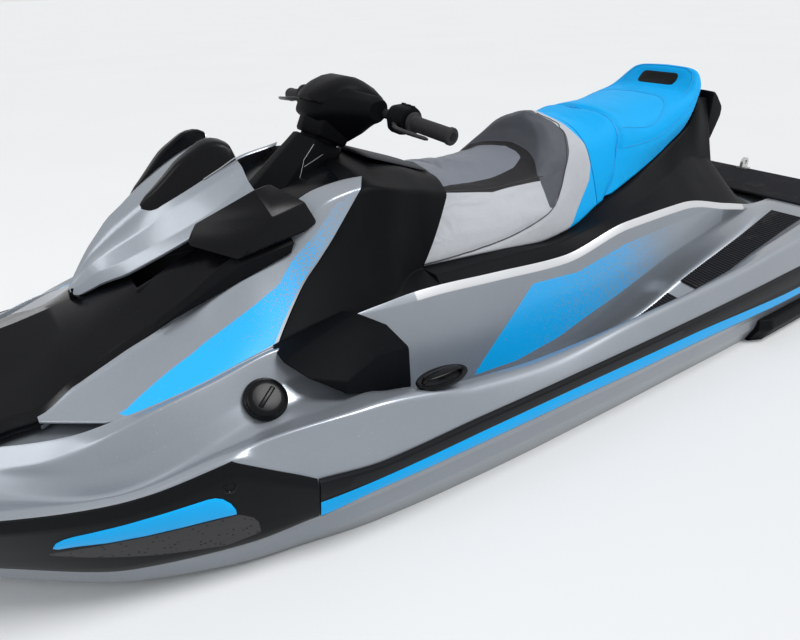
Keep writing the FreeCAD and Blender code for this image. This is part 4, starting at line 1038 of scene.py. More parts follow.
def make_world():
    """Soft grey light; white where the camera, glass or a mirror sees the sky."""
    scene, world = bpy.context.scene, bpy.data.worlds.new("Studio")
    scene.view_settings.view_transform = "Standard"
    scene.world = world
    world.use_nodes = True
    tree = world.node_tree
    tree.nodes.clear()
    ray = tree.nodes.new("ShaderNodeLightPath")
    seen = ray.outputs["Is Camera Ray"]
    for kind in ("Is Transmission Ray", "Is Glossy Ray"):
        either = tree.nodes.new("ShaderNodeMath")
        either.operation = "ADD"
        either.use_clamp = True
        tree.links.new(seen, either.inputs[0])
        tree.links.new(ray.outputs[kind], either.inputs[1])
        seen = either.outputs[0]
    blend = tree.nodes.new("ShaderNodeMixShader")
    tree.links.new(seen, blend.inputs["Fac"])
    for slot, colour, strength in ((1, (0.93, 0.96, 1.0, 1), 0.45), (2, (0.8, 0.8, 0.8, 1), 1.0)):
        sky = tree.nodes.new("ShaderNodeBackground")
        sky.inputs["Color"].default_value = colour
        sky.inputs["Strength"].default_value = strength
        tree.links.new(sky.outputs[0], blend.inputs[slot])
    out = tree.nodes.new("ShaderNodeOutputWorld")
    tree.links.new(blend.outputs[0], out.inputs["Surface"])


class CRAFT_OT_stage(Step, bpy.types.Operator):
    """Camera, floor at the waterline, soft studio light"""
    bl_idname = "craft.stage"
    bl_label = "Stage"
    jobs = (make_camera, make_floor, make_world, make_lamps)


# ------------------------------------------------------------------ hull and deck
# Crest of the hump between footwell and deck edge.
RIDGE = Lines("""
    x ridge_y ridge_z
    -1663 302 311
    -1285 298 322
    -1130 322 330
    -1010 337 328
    -870 352 318
    -651 372 296
    -406 389 240
    -226 399 184
    0 402 166
    300 398 200
    400 398 296
    550 392 392
    659 378 420
    787 381 399
    900 382 380
    970 377 361
    1074 352 328
    1200 282 317
    1400 188 350
    1550 90 361
    1660 24 359
    """)

# Blue field on the side of the hump, seen from the side.
FIELD = ((0.168, 0.180), (0.019, 0.172), (-0.136, 0.188), (-0.394, 0.246), (-0.62, 0.300),
         (-0.92, 0.335), (-0.92, 0.395), (-0.80, 0.392), (-0.652, 0.387), (-0.42, 0.374),
         (-0.236, 0.338), (-0.069, 0.349))

# Half the height and the width of the water duct.
DUCT_HALF = 0.0775

# Extra points on the wall of the hump, where the blue field lies.
DECK_FILL = {6: 3, 7: 12, 4: 2, 5: 2}


def hull_ring(x):
    low, knuckle = HULL.point(x, "rail_low"), HULL.point(x, "knuckle")
    chine, keel = HULL.point(x, "chine"), HULL.at(x, "keel_z")
    share = min(1.0, low[0] / 0.2)
    upper = knuckle + np.array([0.005, 0.022]) * share
    lower = knuckle + np.array([-0.003, -0.026]) * share
    strake = np.array([chine[0] * 0.52, keel + (chine[1] - keel) * 0.50])
    points = [(0, keel), strake + [-0.004, 0], strake + [0.006, 0.012 * share], chine, lower, upper,
              low, (low[0] * 0.9, low[1] - 0.02), (0, low[1] - 0.07 * share)]
    cuts = [0, 0.004, 0.004, 0.010, 0.006, 0.004, 0.002, 0.002, 0]
    return whole(placed(x, rounded(points, cuts, 2)))


def build_hull():
    hull = solid("hull_shell", [hull_ring(x) for x in stations(-1.600, 1.660)])
    front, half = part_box("pump_housing")[1].x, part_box("ride_plate")[1].y
    middle = (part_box("impeller")[0].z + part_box("impeller")[1].z) / 2
    tunnel = block((-2, -half, -0.5), (front, half, 0.03))
    outline = [(front - 0.002, middle - DUCT_HALF), (front - 0.002, middle + DUCT_HALF), (-0.6, -0.32),
               (-0.98, -0.32), (-1.02, middle - DUCT_HALF)]
    duct = solid("Duct", [[(x, y, z) for x, z in outline] for y in (-DUCT_HALF, DUCT_HALF)])
    carve(hull, tunnel, duct)
    bevelled(hull, 0.002, 2, 50)
    finish(hull, "hull_gelcoat", "craft", "hull")


def deck_ring(x):
    low, top = HULL.point(x, "rail_low"), HULL.point(x, "rail_top")
    names = ("crest", "inner", "floor_out", "floor_in")
    crest, inner, floor_out, floor_in = (DECK.point(x, name) for name in names)
    ridge, edge = RIDGE.point(x, "ridge"), DECK.point(x, "edge")
    lip = float(np.interp(x, (-1.20, -1.05, 0.32, 0.48), (0.1, 1, 1, 0.1)))
    points = [low + [-0.02, 0.0], low, top, crest, inner, floor_out, floor_in, ridge,
              edge + np.array([0.013, -0.017]) * lip, edge + np.array([-0.001, 0.001]),
              edge + [-0.012, -0.03], (0, edge[1])]
    thin = min(1.0, low[0] / 0.3)
    soft = float(np.interp(x, (0.35, 0.62), (1, 0.42)))
    cuts = [0, 0.002, 0.010, 0.022 * soft, 0.018 * soft, 0.024 * soft, 0.016 * soft, 0.014 * soft, 0.003,
            0.003, 0.002, 0]
    ring = rounded(points, [c * thin for c in cuts], 4, fill=DECK_FILL)
    ring[-1][1] = edge[1]
    return placed(x, ring)


def build_deck():
    rings = [deck_ring(x) for x in stations(-1.655, 1.660)]
    first, last = rings[0], rings[-1]
    stern = [[(-1.600, y, 0.07) for _, y, z in first], [(-1.6625, y, 0.13) for _, y, z in first],
             [(-1.663, y, max(z - 0.009, 0.13)) for _, y, z in first]]
    nose = [[(1.664, y * 0.6, z - 0.003) for _, y, z in last],
            [(1.665, 0, z - 0.004) for _, y, z in last]]
    lanes = lanes_of(12, fill=DECK_FILL)
    deck = skin("deck_moulding", stern + rings + nose, mirror=True, lanes=lanes, angle=38)
    # The middle lies hidden under the bow cover, the console and the seat base.
    with edited(deck) as bm:
        lane = bm.verts.layers.float["lane"]
        hidden = [f for f in bm.faces
                  if max(v[lane] for v in f.verts) > 10.5 and -1.27 < f.calc_center_median().x < 0.94]
        bmesh.ops.delete(bm, geom=hidden, context="FACES")
    smooth(deck, 38)
    co = coordinates(deck)
    lanes = np.zeros(len(co), np.float32)
    deck.data.attributes["lane"].data.foreach_get("value", lanes)
    x, z = co[:, 0], co[:, 2]
    wall = (lanes > 6.1) & (lanes < 8.15)
    mark(deck, "field", np.where(wall, inside(x, z, FIELD), -0.02))
    mark(deck, "fade", np.interp(x, (-0.86, -0.40, 0.3), (0.02, 0.62, 1.1)))
    # Painted highlight: the chamfer on top of the hump, which the deck gelcoat paints light silver.
    strip = (lanes > 7.95) & (lanes < 9.5) & (x > -1.08) & (x < 0.30)
    mark(deck, "border", np.where(strip, 0.002, -0.002))
    finish(deck, "deck_gelcoat", "craft", "deck", "gunwale_left", "gunwale_right", "pedestal")


def along_side(name, port, profile):
    """Moulding round the craft; its section is (share from low to high edge, stand-off).

    port holds the low edge, the high edge and the outward direction from one end to the middle.
    """
    starboard = [[Vector((p.x, -p.y, p.z)) for p in row] for row in reversed(port[:-1])]
    rings = [[tuple(low + (high - low) * share + out * off) for share, off in profile]
             for low, high, out in port + starboard]
    return solid(name, rings, angle=30)


def outward(x, step=0.01):
    """Direction square to the side of the craft, seen from above."""
    rise = (HULL.at(x + step, "rail_top_y") - HULL.at(x - step, "rail_top_y")) / (2 * step)
    return Vector((-rise, 1, 0)).normalized()


STRIPE_TOP = Fair((-1.66, -0.96, -0.44, 0.09, 0.42, 0.66), (0.31, 0.34, 0.50, 0.57, 0.52, 0.46))


def build_rail():
    port = []
    for x in reversed(stations(-1.655, 0.676)):
        low, top = HULL.point(x, "rail_low"), HULL.point(x, "rail_top")
        port.append((Vector((x, *low)), Vector((x, *top)), outward(x)))
    corner_low, corner_top = Vector((-1.663, 0.531, 0.131)), Vector((-1.663, 0.540, 0.223))
    for i in range(6):
        a = math.radians(90 * i / 5)
        port.append((corner_low, corner_top, Vector((-math.sin(a), math.cos(a), 0))))
    for y in (0.40, 0.25, 0.10, 0.0):
        port.append((Vector((-1.663, y, 0.131)), Vector((-1.663, y, 0.223)), Vector((-1, 0, 0))))
    profile = [(0.0, -0.004), (0.0, 0.004), (0.03, 0.0095), (0.08, 0.0112), (0.30, 0.0118),
               (0.44, 0.0118), (0.50, 0.0104), (0.56, 0.0118), (0.90, 0.0118), (0.97, 0.0085),
               (1.0, 0.003), (1.0, -0.004)]
    rail = along_side("rub_rail_skin", port, profile)
    co = coordinates(rail)
    x, z = co[:, 0], co[:, 2]
    low = HULL.curves["rail_low_z"](x)
    height = HULL.curves["rail_top_z"](x) - low
    share = (z - low) / height
    stripe = np.minimum(share - 0.055, STRIPE_TOP(x) - share) * height
    mark(rail, "stripe", np.where(x > -1.652, stripe, -0.01))
    finish(rail, "rail_rubber", "craft", "rub_rail")


BUMPER_TOP = Fair((0.824, 1.01, 1.20, 1.40, 1.55, 1.66), (0.319, 0.292, 0.303, 0.328, 0.342, 0.349))


def bumper_edges(x):
    low, top = HULL.point(x, "rail_low"), HULL.point(x, "rail_top")
    if x < 0.824:
        height = 0.222 + (x - 0.677) / (0.824 - 0.677) * (0.319 - 0.222)
    else:
        height = float(BUMPER_TOP(x))
    return low, np.array([top[0] + (height - top[1]) * 0.12, height])


def bumper_place(x, z, off):
    low, top = bumper_edges(x)
    share = (z - low[1]) / (top[1] - low[1])
    y = low[0] + (top[0] - low[0]) * share
    return Vector((x, y, z)) + outward(x) * off


# Insert of the bumper: station, lower and upper edge.
INSERT = (
    (1.118, 0.223, 0.226), (1.112, 0.217, 0.236), (1.100, 0.2175, 0.243), (1.085, 0.2175, 0.247),
    (1.04, 0.212, 0.2505), (0.98, 0.208, 0.254), (0.92, 0.205, 0.257), (0.875, 0.203, 0.2595),
    (0.862, 0.2022, 0.2575), (0.850, 0.2015, 0.250), (0.838, 0.201, 0.233), (0.831, 0.202, 0.214),
)


def build_bumper():
    port = []
    for x in stations(0.679, 1.655, 0.824):
        low, top = bumper_edges(x)
        port.append((Vector((x, *low)), Vector((x, *top)), outward(x)))
    for spread, push, turn in ((1.0, 0.0, 28), (0.72, 0.002, 16), (0.36, 0.0027, 7), (0.0, 0.003, 0)):
        a = math.radians(turn)
        direction = Vector((math.cos(a), math.sin(a), 0))
        port.append((Vector((1.660 + push, 0.028 * spread, 0.226)),
                     Vector((1.660 + push, 0.058 * spread, 0.349)), direction))
    profile = [(0.0, -0.004), (0.0, 0.003), (0.05, 0.0085), (0.14, 0.0105), (0.30, 0.0112),
               (0.36, 0.0112), (0.42, 0.0116), (0.62, 0.0118), (0.80, 0.0118), (0.865, 0.0116),
               (0.885, 0.0105), (0.96, 0.0045), (1.0, 0.001), (1.0, -0.004)]
    bumper = along_side("bow_bumper_skin", port, profile)
    band = ((1.130, 0.214), (0.988, 0.206), (0.828, 0.198), (0.800, 0.175), (0.788, 0.135),
            (0.858, 0.123), (0.977, 0.148), (1.08, 0.180), (1.135, 0.202))
    mark_side(bumper, "band", band)
    finish(bumper, "bumper_plastic", "craft", "bow_bumper")

    rings = []
    for x, low, high in INSERT:
        tall = high - low
        outline = [(low, 0.009), (low + tall * 0.04, 0.0132), (low + tall * 0.16, 0.0148),
                   (low + tall * 0.5, 0.0149), (high - tall * 0.16, 0.0146),
                   (high - tall * 0.04, 0.0128), (high, 0.009)]
        rings.append([tuple(bumper_place(x, z, off)) for z, off in outline])
    insert = solid("bumper_insert", rings, mirror=True, angle=50)
    finish(insert, "blue_plastic", "craft", "bumper_inserts")

    profile = [(0.0125, 0.0), (0.0125, 0.0022), (0.0105, 0.0030), (0.0085, 0.0015), (0.0075, -0.002),
               (0.003, -0.002), (0.0, -0.0018)]
    plugs = []
    for side in SIDES:
        place, out = bumper_place(0.835, 0.271, 0.0108), outward(0.835)
        place.y, out.y = side * place.y, side * out.y
        plugs.append(lathe("Plug", profile, place, out, 28))
    finish(joined("bumper_plugs", plugs), "black_gloss", "craft")


class CRAFT_OT_hull(Step, bpy.types.Operator):
    """Hull shell with its chines, strakes, pump tunnel and water intake"""
    bl_idname = "craft.hull"
    bl_label = "Hull"
    jobs = (build_hull,)


class CRAFT_OT_deck(Step, bpy.types.Operator):
    """Deck moulding, rub rail, bow bumper and its coloured inserts"""
    bl_idname = "craft.deck"
    bl_label = "Deck, rail and bumper"
    jobs = (build_deck, build_rail, build_bumper)


# ------------------------------------------------------------------ bow
WEDGE = ((0.965, 0.366), (0.90, 0.372), (0.80, 0.388), (0.652, 0.416), (0.36, 0.672), (0.44, 0.640),
         (0.60, 0.505), (0.80, 0.420))


def panel_foot(x):
    if x < 0.95:
        return DECK.point(x, "edge") + np.array([-0.001, 0.001])
    return np.array([np.interp(x, (0.95, 0.979, 1.085), (0.349, 0.345, 0.262)),
                     np.interp(x, (0.95, 0.979, 1.085), (0.365, 0.363, 0.3605))])


def panel_ring(x):
    foot, out, top = panel_foot(x), PANEL.point(x, "out"), PANEL.point(x, "top")
    points = [foot + [-0.03, -0.012], foot + [0, -0.004], foot, out, top, top + [-0.006, -0.006],
              out + [-0.012, -0.03]]
    cuts = [0.001, 0.001, 0.003, 0.005, 0.004, 0.001, 0.001]
    wide = min(1, (foot[0] - out[0]) / 0.02 + 0.05)
    return placed(x, rounded(points, [c * wide for c in cuts], 3, True, {2: 10}))


def build_panels():
    rings = [panel_ring(x) for x in stations(0.342, 1.085)]
    panels = solid("bow_panel_skin", rings, mirror=True, angle=28)
    trim_line(panels, CONSOLE_FRONT, 0.001, True)
    mark_side(panels, "wedge", WEDGE)
    x = coordinates(panels)[:, 0]
    mark(panels, "fade", np.interp(x, (0.36, 0.50, 0.66, 0.97), (0.25, 0.50, 0.85, 1.1)))
    finish(panels, "panel_gelcoat", "craft", "bow_panels")


def shell(x, half, thick, side=0.003):
    """Closed ring of a thin moulding from the outside line of one side.

    thick is how far the inside lies lower, side how far it lies nearer to the middle.
    """
    full = [(y, z) for y, z in half] + [(-y, z) for y, z in reversed(half) if y > 1e-6]
    inner = [(math.copysign(max(0.0, abs(y) - side), y), z - thick) for y, z in reversed(full)]
    return placed(x, full + inner)


def cover_half(x):
    foot, band, crown = COVER.point(x, "shoulder"), COVER.point(x, "band"), COVER.point(x, "crown")
    thin = min(1.0, foot[0] / 0.12)
    points = [foot + [0.0, -0.010 * thin], foot, band, crown, (0, COVER.at(x, "ridge_z"))]
    return rounded(points, [0, 0.003 * thin, 0.004 * thin, 0.03 * thin, 0], 4)


def hinge_place(y=0.0):
    """Place on the hood's hinge."""
    return Vector((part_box("hood")[1].x - 0.007, y, 0.484))


def hinge_ring(name, y, half, radius, soften, sides):
    """Short round piece on the hood's hinge, with its edges taken off."""
    profile = [(radius - soften[0], -half), (radius, soften[1] - half), (radius, half - soften[1]),
               (radius - soften[0], half)]
    return lathe(name, profile, hinge_place(y), (0, 1, 0), sides)


def build_cover():
    low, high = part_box("storage_tub")
    hole = high.y
    rings = [shell(x, cover_half(x), 0.005) for x in stations(0.342, 1.655, low.x, high.x)]
    cover = solid("bow_cover_skin", rings, angle=28)
    trim_line(cover, CONSOLE_FRONT, 0.001, True)
    carve(cover, block((low.x, -hole, 0.30), (high.x, hole, 0.9)))
    finish(cover, "black_gloss", "craft", "bow_cover")

    corners = ((low.x, -hole), (high.x, -hole), (high.x, hole), (low.x, hole))
    inner = [[(x, y, z) for x, y in corners] for z in (0.465, 0.60)]
    outer = [[(x + math.copysign(0.004, x - 0.725), y + math.copysign(0.004, y), z) for x, y, z in ring]
             for ring in inner]
    rim = skin("tub_throat", [*inner, *reversed(outer), inner[0]], closed=True, angle=30)
    for vert in rim.data.vertices:
        x, y, z = vert.co
        if z > 0.55:
            ridge, crown = COVER.at(x, "ridge_z"), COVER.point(x, "crown")
            vert.co.z = ridge + (crown[1] - ridge) * (abs(y) / crown[0]) + 0.001
    finish(rim, "tub_plastic", "craft")

    knuckle = hinge_ring("Knuckle", 0.0, 0.0060, 0.0055, (0.0003, 0.0005), 24)
    pin = hinge_ring("Pin", 0.0, 0.0115, 0.0026, (0.0004, 0.0005), 20)
    root = faceted("Root", box_corners(hinge_place().x, 0.006, 0.0, 0.0055, (0.452, 0.482)), 0.0015, 2)
    finish(joined("hood_hinge_lug", [knuckle, pin, root]), "black_trim", "craft")


def build_scoops():
    """Dark mouldings below the wings, on the upper edge of the side panels."""
    points = [(0.545, 0.262, 0.580), (0.553, 0.261, 0.560), (0.624, 0.250, 0.546), (0.664, 0.243, 0.552),
              (0.84, 0.224, 0.458), (0.84, 0.212, 0.464), (0.66, 0.222, 0.575), (0.60, 0.222, 0.600),
              (0.545, 0.225, 0.605), (0.62, 0.21, 0.56), (0.55, 0.22, 0.57)]
    scoop = faceted("side_scoops", points, 0.003, 3, mirror=True)
    finish(scoop, "black_trim", "craft")


class CRAFT_OT_bow(Step, bpy.types.Operator):
    """Bow cover, silver side panels with their blue wedge, and the scoops"""
    bl_idname = "craft.bow"
    bl_label = "Bow"
    jobs = (build_panels, build_cover, build_scoops)


# ------------------------------------------------------------------ hood
def hood_half(x):
    names = ("low", "facet", "crease", "top")
    low, facet, crease, top = (HOOD.point(x, name) for name in names)
    ridge = HOOD.at(x, "ridge_z")
    thin = min(1.0, low[0] / 0.1)
    middle = (crease + top) / 2 + np.array([0.0, -0.003]) * thin
    points = [low + [-0.001, -0.003 * thin], low, facet, crease, middle, top, (0, ridge)]
    return rounded(points, [0, 0.002 * thin, 0.003 * thin, 0.004 * thin, 0.012, 0.014 * thin, 0], 4)


def build_hood():
    rings = []
    for x in stations(0.593, 0.957):
        thick, side = (0.004, 0.003) if x < 0.94 else (0.0008, 0.0006)
        rings.append(shell(x, hood_half(x), thick, side))
    hood = solid("hood_skin", rings, angle=24)
    finish(hood, "silver_gelcoat", "hood", "hood")

    ears = []
    for side in SIDES:
        y = side * 0.0085
        ears.append(hinge_ring("Ear", y, 0.0016, 0.0053, (0.0003, 0.0004), 24))
        arm = box_corners(hinge_place().x - 0.008, 0.008, y, 0.0015, (0.485, 0.497))
        ears.append(faceted("Arm", arm, 0.0005, 2))
    finish(joined("hood_ears", ears), "black_trim", "hood")

    wing = faceted("wing_mouldings", (
        (0.735, 0.160, 0.598), (0.716, 0.160, 0.629), (0.598, 0.208, 0.690), (0.562, 0.204, 0.696),
        (0.506, 0.248, 0.657), (0.488, 0.262, 0.612), (0.514, 0.262, 0.599), (0.59, 0.262, 0.590),
        (0.634, 0.252, 0.582), (0.664, 0.244, 0.566), (0.735, 0.170, 0.590), (0.588, 0.262, 0.644),
        (0.52, 0.200, 0.655), (0.55, 0.190, 0.610), (0.72, 0.150, 0.600), (0.60, 0.18, 0.66)),
        0.003, 3, mirror=True)
    finish(wing, "black_gloss", "hood", "hood_wings")


# Mirror housings: inner top edge, outer top edge and the rim on the hood.
POD = Lines("""
    x inner_y inner_z outer_y outer_z rim_y rim_z
    592 62 762 93 758 119 739
    607 57 771 90 766 116 731
    628 52 775 86 768 111 719
    648 50 770 83 764 105 708
    670 48 757 80 753 99 696
    700 45 737 74 737 90 679
    728 42 711 68 712 81 663
    747 38 693 61 695 74 654
    765 36 677 54 679 66 645
    778 37 667 48 668 56 645
    787 39 656 45 656 48 648
    """)


def build_pods():
    rings = []
    for x in stations(0.594, 0.787, 0.597, 0.784):
        inner, outer, rim = (POD.point(x, name) for name in ("inner", "outer", "rim"))
        size = min(1.0, (rim[0] - inner[0]) / 0.05)
        points = [inner + [-0.002, -0.05 * size], inner, outer, rim, rim + [-0.004, -0.012 * size]]
        cuts = [c * size for c in (0.004, 0.008, 0.012, 0.003, 0.003)]
        rings.append(placed(x, rounded(points, cuts, 4, True)))
    pods = solid("mirror_housings", rings, mirror=True, angle=32)
    finish(pods, "black_gloss", "hood", "mirror_pods")

    # Painted highlight: bright metal strips along the rear rim of the mirror housings, where their edge
    # catches the light.
    strips = []
    for side in SIDES:
        path = [(x, side * (POD.at(x, "rim_y") + 0.0015), POD.at(x, "rim_z") + 0.0010)
                for x in np.linspace(0.596, 0.664, 9)]
        strips.append(tube("Strip", path, 0.0013, 6))
    finish(joined("mirror_housing_edge_highlights", strips), "bright_accent_and_highlight", "hood")

    glasses = []
    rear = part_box("mirror_glass")[0].x
    outline = ((0.066, 0.716), (0.106, 0.716), (0.112, 0.734), (0.096, 0.748), (0.068, 0.755))
    outline = rounded(outline, 0.005, 4, True)
    middle = outline.mean(axis=0)
    for side in SIDES:
        rings = [[(rear + x, side * y, z) for y, z in middle + (outline - middle) * k]
                 for x, k in ((0.0035, 1.0), (0.0008, 1.0), (0.0001, 0.965), (0.0006, 0.93))]
        glasses.append(solid("Glass", rings, angle=35))
    finish(joined("mirror_faces", glasses), "looking_glass", "hood", "mirror_glass")


class CRAFT_OT_hood(Step, bpy.types.Operator):
    """Hood with its wings, mirror housings and mirrors"""
    bl_idname = "craft.hood"
    bl_label = "Hood"
    jobs = (build_hood, build_pods)


# ------------------------------------------------------------------ console
UPPER = Lines("""
    x shoulder_y shoulder_z crown_y crown_z ridge_z
    40 196 572 130 598 605
    122 207 592 140 628 637
    200 226 617 150 655 665
    312 258 651 160 674 684
    354 254 662 165 680 690
    460 240 622 160 640 665
    550 230 582 150 600 630
    700 220 520 140 560 590
    """)


def console_half(x):
    edge, shoulder, crown = DECK.point(x, "edge"), UPPER.point(x, "shoulder"), UPPER.point(x, "crown")
    points = [edge + [-0.02, -0.02], edge + [0, -0.002], edge + [-0.001, 0.001], LEDGE.point(x, "foot"),
              shoulder, crown, (0, UPPER.at(x, "ridge_z"))]
    return rounded(points, [0, 0.001, 0.001, 0.005, 0.012, 0.03, 0], 4)


def lid_foot(x):
    """Height of the slope that the glove box lid lies on."""
    return 0.622 + (x - 0.096) * (0.684 - 0.622) / (0.268 - 0.096)


def build_console():
    rings = [whole(placed(x, console_half(x))) for x in stations(0.045, 0.68)]
    console = solid("console_skin", rings, angle=30)
    trim_line(console, CONSOLE_FRONT, 0.001, False)
    trim_line(console, SEAT_FRONT, 0.001, True)
    low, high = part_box("glove_box_lid")
    room = [[(x, y, lid_foot(x) - 0.0025 + up)
             for y, up in ((-0.1205, 0), (0.1205, 0), (0.1205, 0.2), (-0.1205, 0.2))]
            for x in (low.x - 0.0025, high.x + 0.0025)]
    carve(console, block((0.173, -0.09, 0.53), (0.258, 0.09, 0.9)), solid("Room", room))
    bevelled(console, 0.0025, 3, 34)
    finish(console, "black_trim", "craft", "console")

    rings = []
    for share, wide, lift in ((0.0, 0.97, -0.003), (0.03, 0.995, 0.0), (0.12, 1.0, 0.0), (0.5, 1.0, 0.0),
                              (0.88, 1.0, 0.0), (0.97, 0.995, 0.0), (1.0, 0.97, -0.003)):
        x = low.x + (high.x - low.x) * share
        base, half = lid_foot(x), 0.118 * wide
        port = [(half * 0.5, 0.0085 + lift), (half - 0.003, 0.0045 + lift), (half, 0.002),
                (half - 0.004, 0.0003)]
        outline = [(-y, up) for y, up in reversed(port)] + [(0, 0.0100 + lift)] + port
        rings.append([(x, y, base + up) for y, up in outline])
    lid = solid("glove_lid_skin", rings, angle=40)
    finish(lid, "grey_trim", "glove_lid", "glove_box_lid")


def build_guards():
    guards = faceted("splash_guard_mouldings", (
        (0.660, 0.352, 0.415), (0.655, 0.378, 0.418), (0.500, 0.330, 0.440), (0.470, 0.365, 0.438),
        (0.412, 0.398, 0.404), (0.374, 0.424, 0.349), (0.370, 0.40, 0.262), (0.388, 0.450, 0.260),
        (0.570, 0.497, 0.340), (0.637, 0.462, 0.386), (0.667, 0.420, 0.412), (0.566, 0.490, 0.366),
        (0.470, 0.452, 0.372), (0.44, 0.32, 0.36), (0.40, 0.34, 0.28), (0.56, 0.36, 0.34),
        (0.480, 0.404, 0.420)), 0.007, 3, mirror=True)
    finish(guards, "black_soft", "craft", "splash_guards")


# Shroud: height along the axis at its front and rear; front, rear and half width.
COLUMN_RINGS = (
    (-0.090, -0.060, 0.090, -0.050, 0.082),
    (0.000, 0.000, 0.076, -0.056, 0.070),
    (0.060, 0.080, 0.065, -0.054, 0.061),
    (0.086, 0.112, 0.061, -0.052, 0.056),
    (0.091, 0.118, 0.055, -0.048, 0.050),
)


# Bright lines on the port side of the shroud.
ACCENTS = (
    ((0.414, 0.060, 0.692), (0.3805, 0.060, 0.725)),
    ((0.416, 0.062, 0.678), (0.359, 0.062, 0.698)),
    ((0.414, 0.060, 0.692), (0.437, 0.064, 0.643)),
)


def axis_ring(front_up, rear_up, front, rear, half, corner=0.006):
    """Closed ring square to the steering axis, tilted a little fore and aft."""
    outline = [(front, -half * 0.22), (front, half * 0.22), (front - half * 0.42, half),
               (rear + half * 0.25, half * 0.96), (rear, half * 0.6), (rear, -half * 0.6),
               (rear + half * 0.25, -half * 0.96), (front - half * 0.42, -half)]
    ring = []
    for ahead, y in rounded(outline, corner, 3, True):
        share = (ahead - rear) / (front - rear)
        ring.append(tuple(on_axis(rear_up + (front_up - rear_up) * share, ahead, y)))
    return ring


def build_column():
    shroud = solid("Shroud", [axis_ring(*row) for row in COLUMN_RINGS], angle=30)
    collar = lathe("Collar", [(0.045, 0.07), (0.045, 0.128), (0.038, 0.130)], COLUMN, AXIS, 40)
    column = joined("steering_shroud", [shroud, collar])
    finish(column, "black_trim", "craft", "steering_column")
    target = surface_of(column)
    strips = []
    for side in SIDES:
        for path in ACCENTS:
            a, b = (Vector((x, side * y, z)) for x, y, z in path)
            points = laid([a + (b - a) * k / 8 for k in range(9)], target, 0.0003)
            strips.append(tube("Strip", points, [0.0008] * 8 + [0.0004], 6))
    finish(joined("column_accents", strips), "bright_accent_and_highlight", "craft")


class CRAFT_OT_console(Step, bpy.types.Operator):
    """Console, glove box lid, splash guards and steering shroud"""
    bl_idname = "craft.console"
    bl_label = "Console"
    jobs = (build_console, build_guards, build_column)


# ------------------------------------------------------------------ seats
SEAT_SPACING = 0.0055
SEAT_HEM = 0.036
SIM_FRAMES = 16

# Seams of the cushions, on the port side.
PIPING_LINE = (
    (-0.372, 0.02, 0.690), (-0.376, 0.05, 0.682), (-0.384, 0.10, 0.652), (-0.362, 0.15, 0.614),
    (-0.325, 0.19, 0.567), (-0.293, 0.21, 0.525), (-0.251, 0.232, 0.487), (-0.179, 0.24, 0.461),
    (-0.077, 0.245, 0.444), (0.029, 0.25, 0.439), (0.128, 0.25, 0.437), (0.206, 0.25, 0.437),
)
BAND_LINE = (
    (-0.250, 0.178, 0.560), (-0.16, 0.168, 0.553), (-0.069, 0.168, 0.556), (0.02, 0.166, 0.568),
    (0.10, 0.163, 0.580), (0.17, 0.160, 0.588),
)
BOOT_LINE = (
    (-0.548, 0.0, 0.70), (-0.565, 0.05, 0.697), (-0.572, 0.12, 0.672), (-0.564, 0.17, 0.642),
    (-0.550, 0.19, 0.610), (-0.512, 0.21, 0.526), (-0.470, 0.23, 0.474),
)
INSERT_LINE = (
    (-0.575, 0.165, 0.65), (-0.68, 0.178, 0.640), (-0.74, 0.176, 0.655), (-0.80, 0.150, 0.690),
    (-0.835, 0.10, 0.708), (-0.842, 0.04, 0.712), (-0.842, 0.0, 0.712),
)
SIDE_LINE = (
    (-0.560, 0.19, 0.595), (-0.66, 0.198, 0.600), (-0.74, 0.195, 0.612), (-0.82, 0.19, 0.640),
    (-0.88, 0.18, 0.668), (-0.94, 0.16, 0.700),
)
HUMP_LINE = (
    (-0.880, 0.150, 0.700), (-0.920, 0.140, 0.735), (-0.955, 0.125, 0.765), (-0.975, 0.09, 0.782),
    (-0.980, 0.04, 0.788), (-0.980, 0.0, 0.789),
)


def base_half(x):
    edge, facet, saddle = DECK.point(x, "edge"), BASE.point(x, "facet"), BASE.point(x, "saddle")
    points = [edge + [-0.03, -0.01], edge + [-0.001, 0.0], facet, saddle, (0, saddle[1])]
    return rounded(points, [0, 0.002, 0.006, 0.01, 0], 4)


def build_base():
    rings = [whole(placed(x, base_half(x))) for x in stations(-1.145, 0.25, -1.05, -1.04)]
    base = solid("seat_base_skin", rings, angle=30)
    trim_line(base, SEAT_FRONT, 0.001, False)
    finish(base, "black_trim", "craft", "seat_base")

    outline = ((-1.044, 0.548), (-1.050, 0.526), (-1.064, 0.521), (-1.113, 0.620), (-1.113, 0.652),
               (-1.064, 0.702), (-1.044, 0.706))
    outline = rounded(outline, (0.004, 0.004, 0.008, 0.010, 0.012, 0.012, 0.004), 4, True)
    middle = np.array([-1.078, 0.615])
    rings = []
    for y, inset in ((-0.158, 0.010), (-0.152, 0.002), (-0.12, 0.0), (0.0, 0.0), (0.12, 0.0),
                     (0.152, 0.002), (0.158, 0.010)):
        rings.append([(x, y, z) for x, z in middle + (outline - middle) * (1 - inset / 0.09)])
    handle = solid("grab_handle_skin", rings, angle=40)
    carve(handle, block((-1.090, -0.105, 0.3), (-1.0, 0.105, 0.8)))
    bevelled(handle, 0.004, 3, 40)
    finish(handle, "black_trim", "craft", "grab_handle")


def seat_half(x):
    names = ("low", "side", "edge", "top")
    low, side, edge, top = (SEAT.point(x, name) for name in names)
    thin = min(1.0, low[0] / 0.15)
    points = [(0, low[1]), (low[0] * 0.6, low[1]), low + [-0.004, 0.0], low + [0.0, 0.006], side, edge,
              top, (0, SEAT.at(x, "middle_z"))]
    cuts = [0, 0, 0.002, 0.006, 0.035, 0.030, 0.045, 0]
    return rounded(points, [c * thin for c in cuts], 6, fill={0: 8, 1: 4, 3: 12, 4: 8, 5: 6, 6: 10})


def seat_rings(first, last):
    count = int((last - first) / SEAT_SPACING)
    return [whole(placed(x, seat_half(x))) for x in np.linspace(first, last, count + 1)]


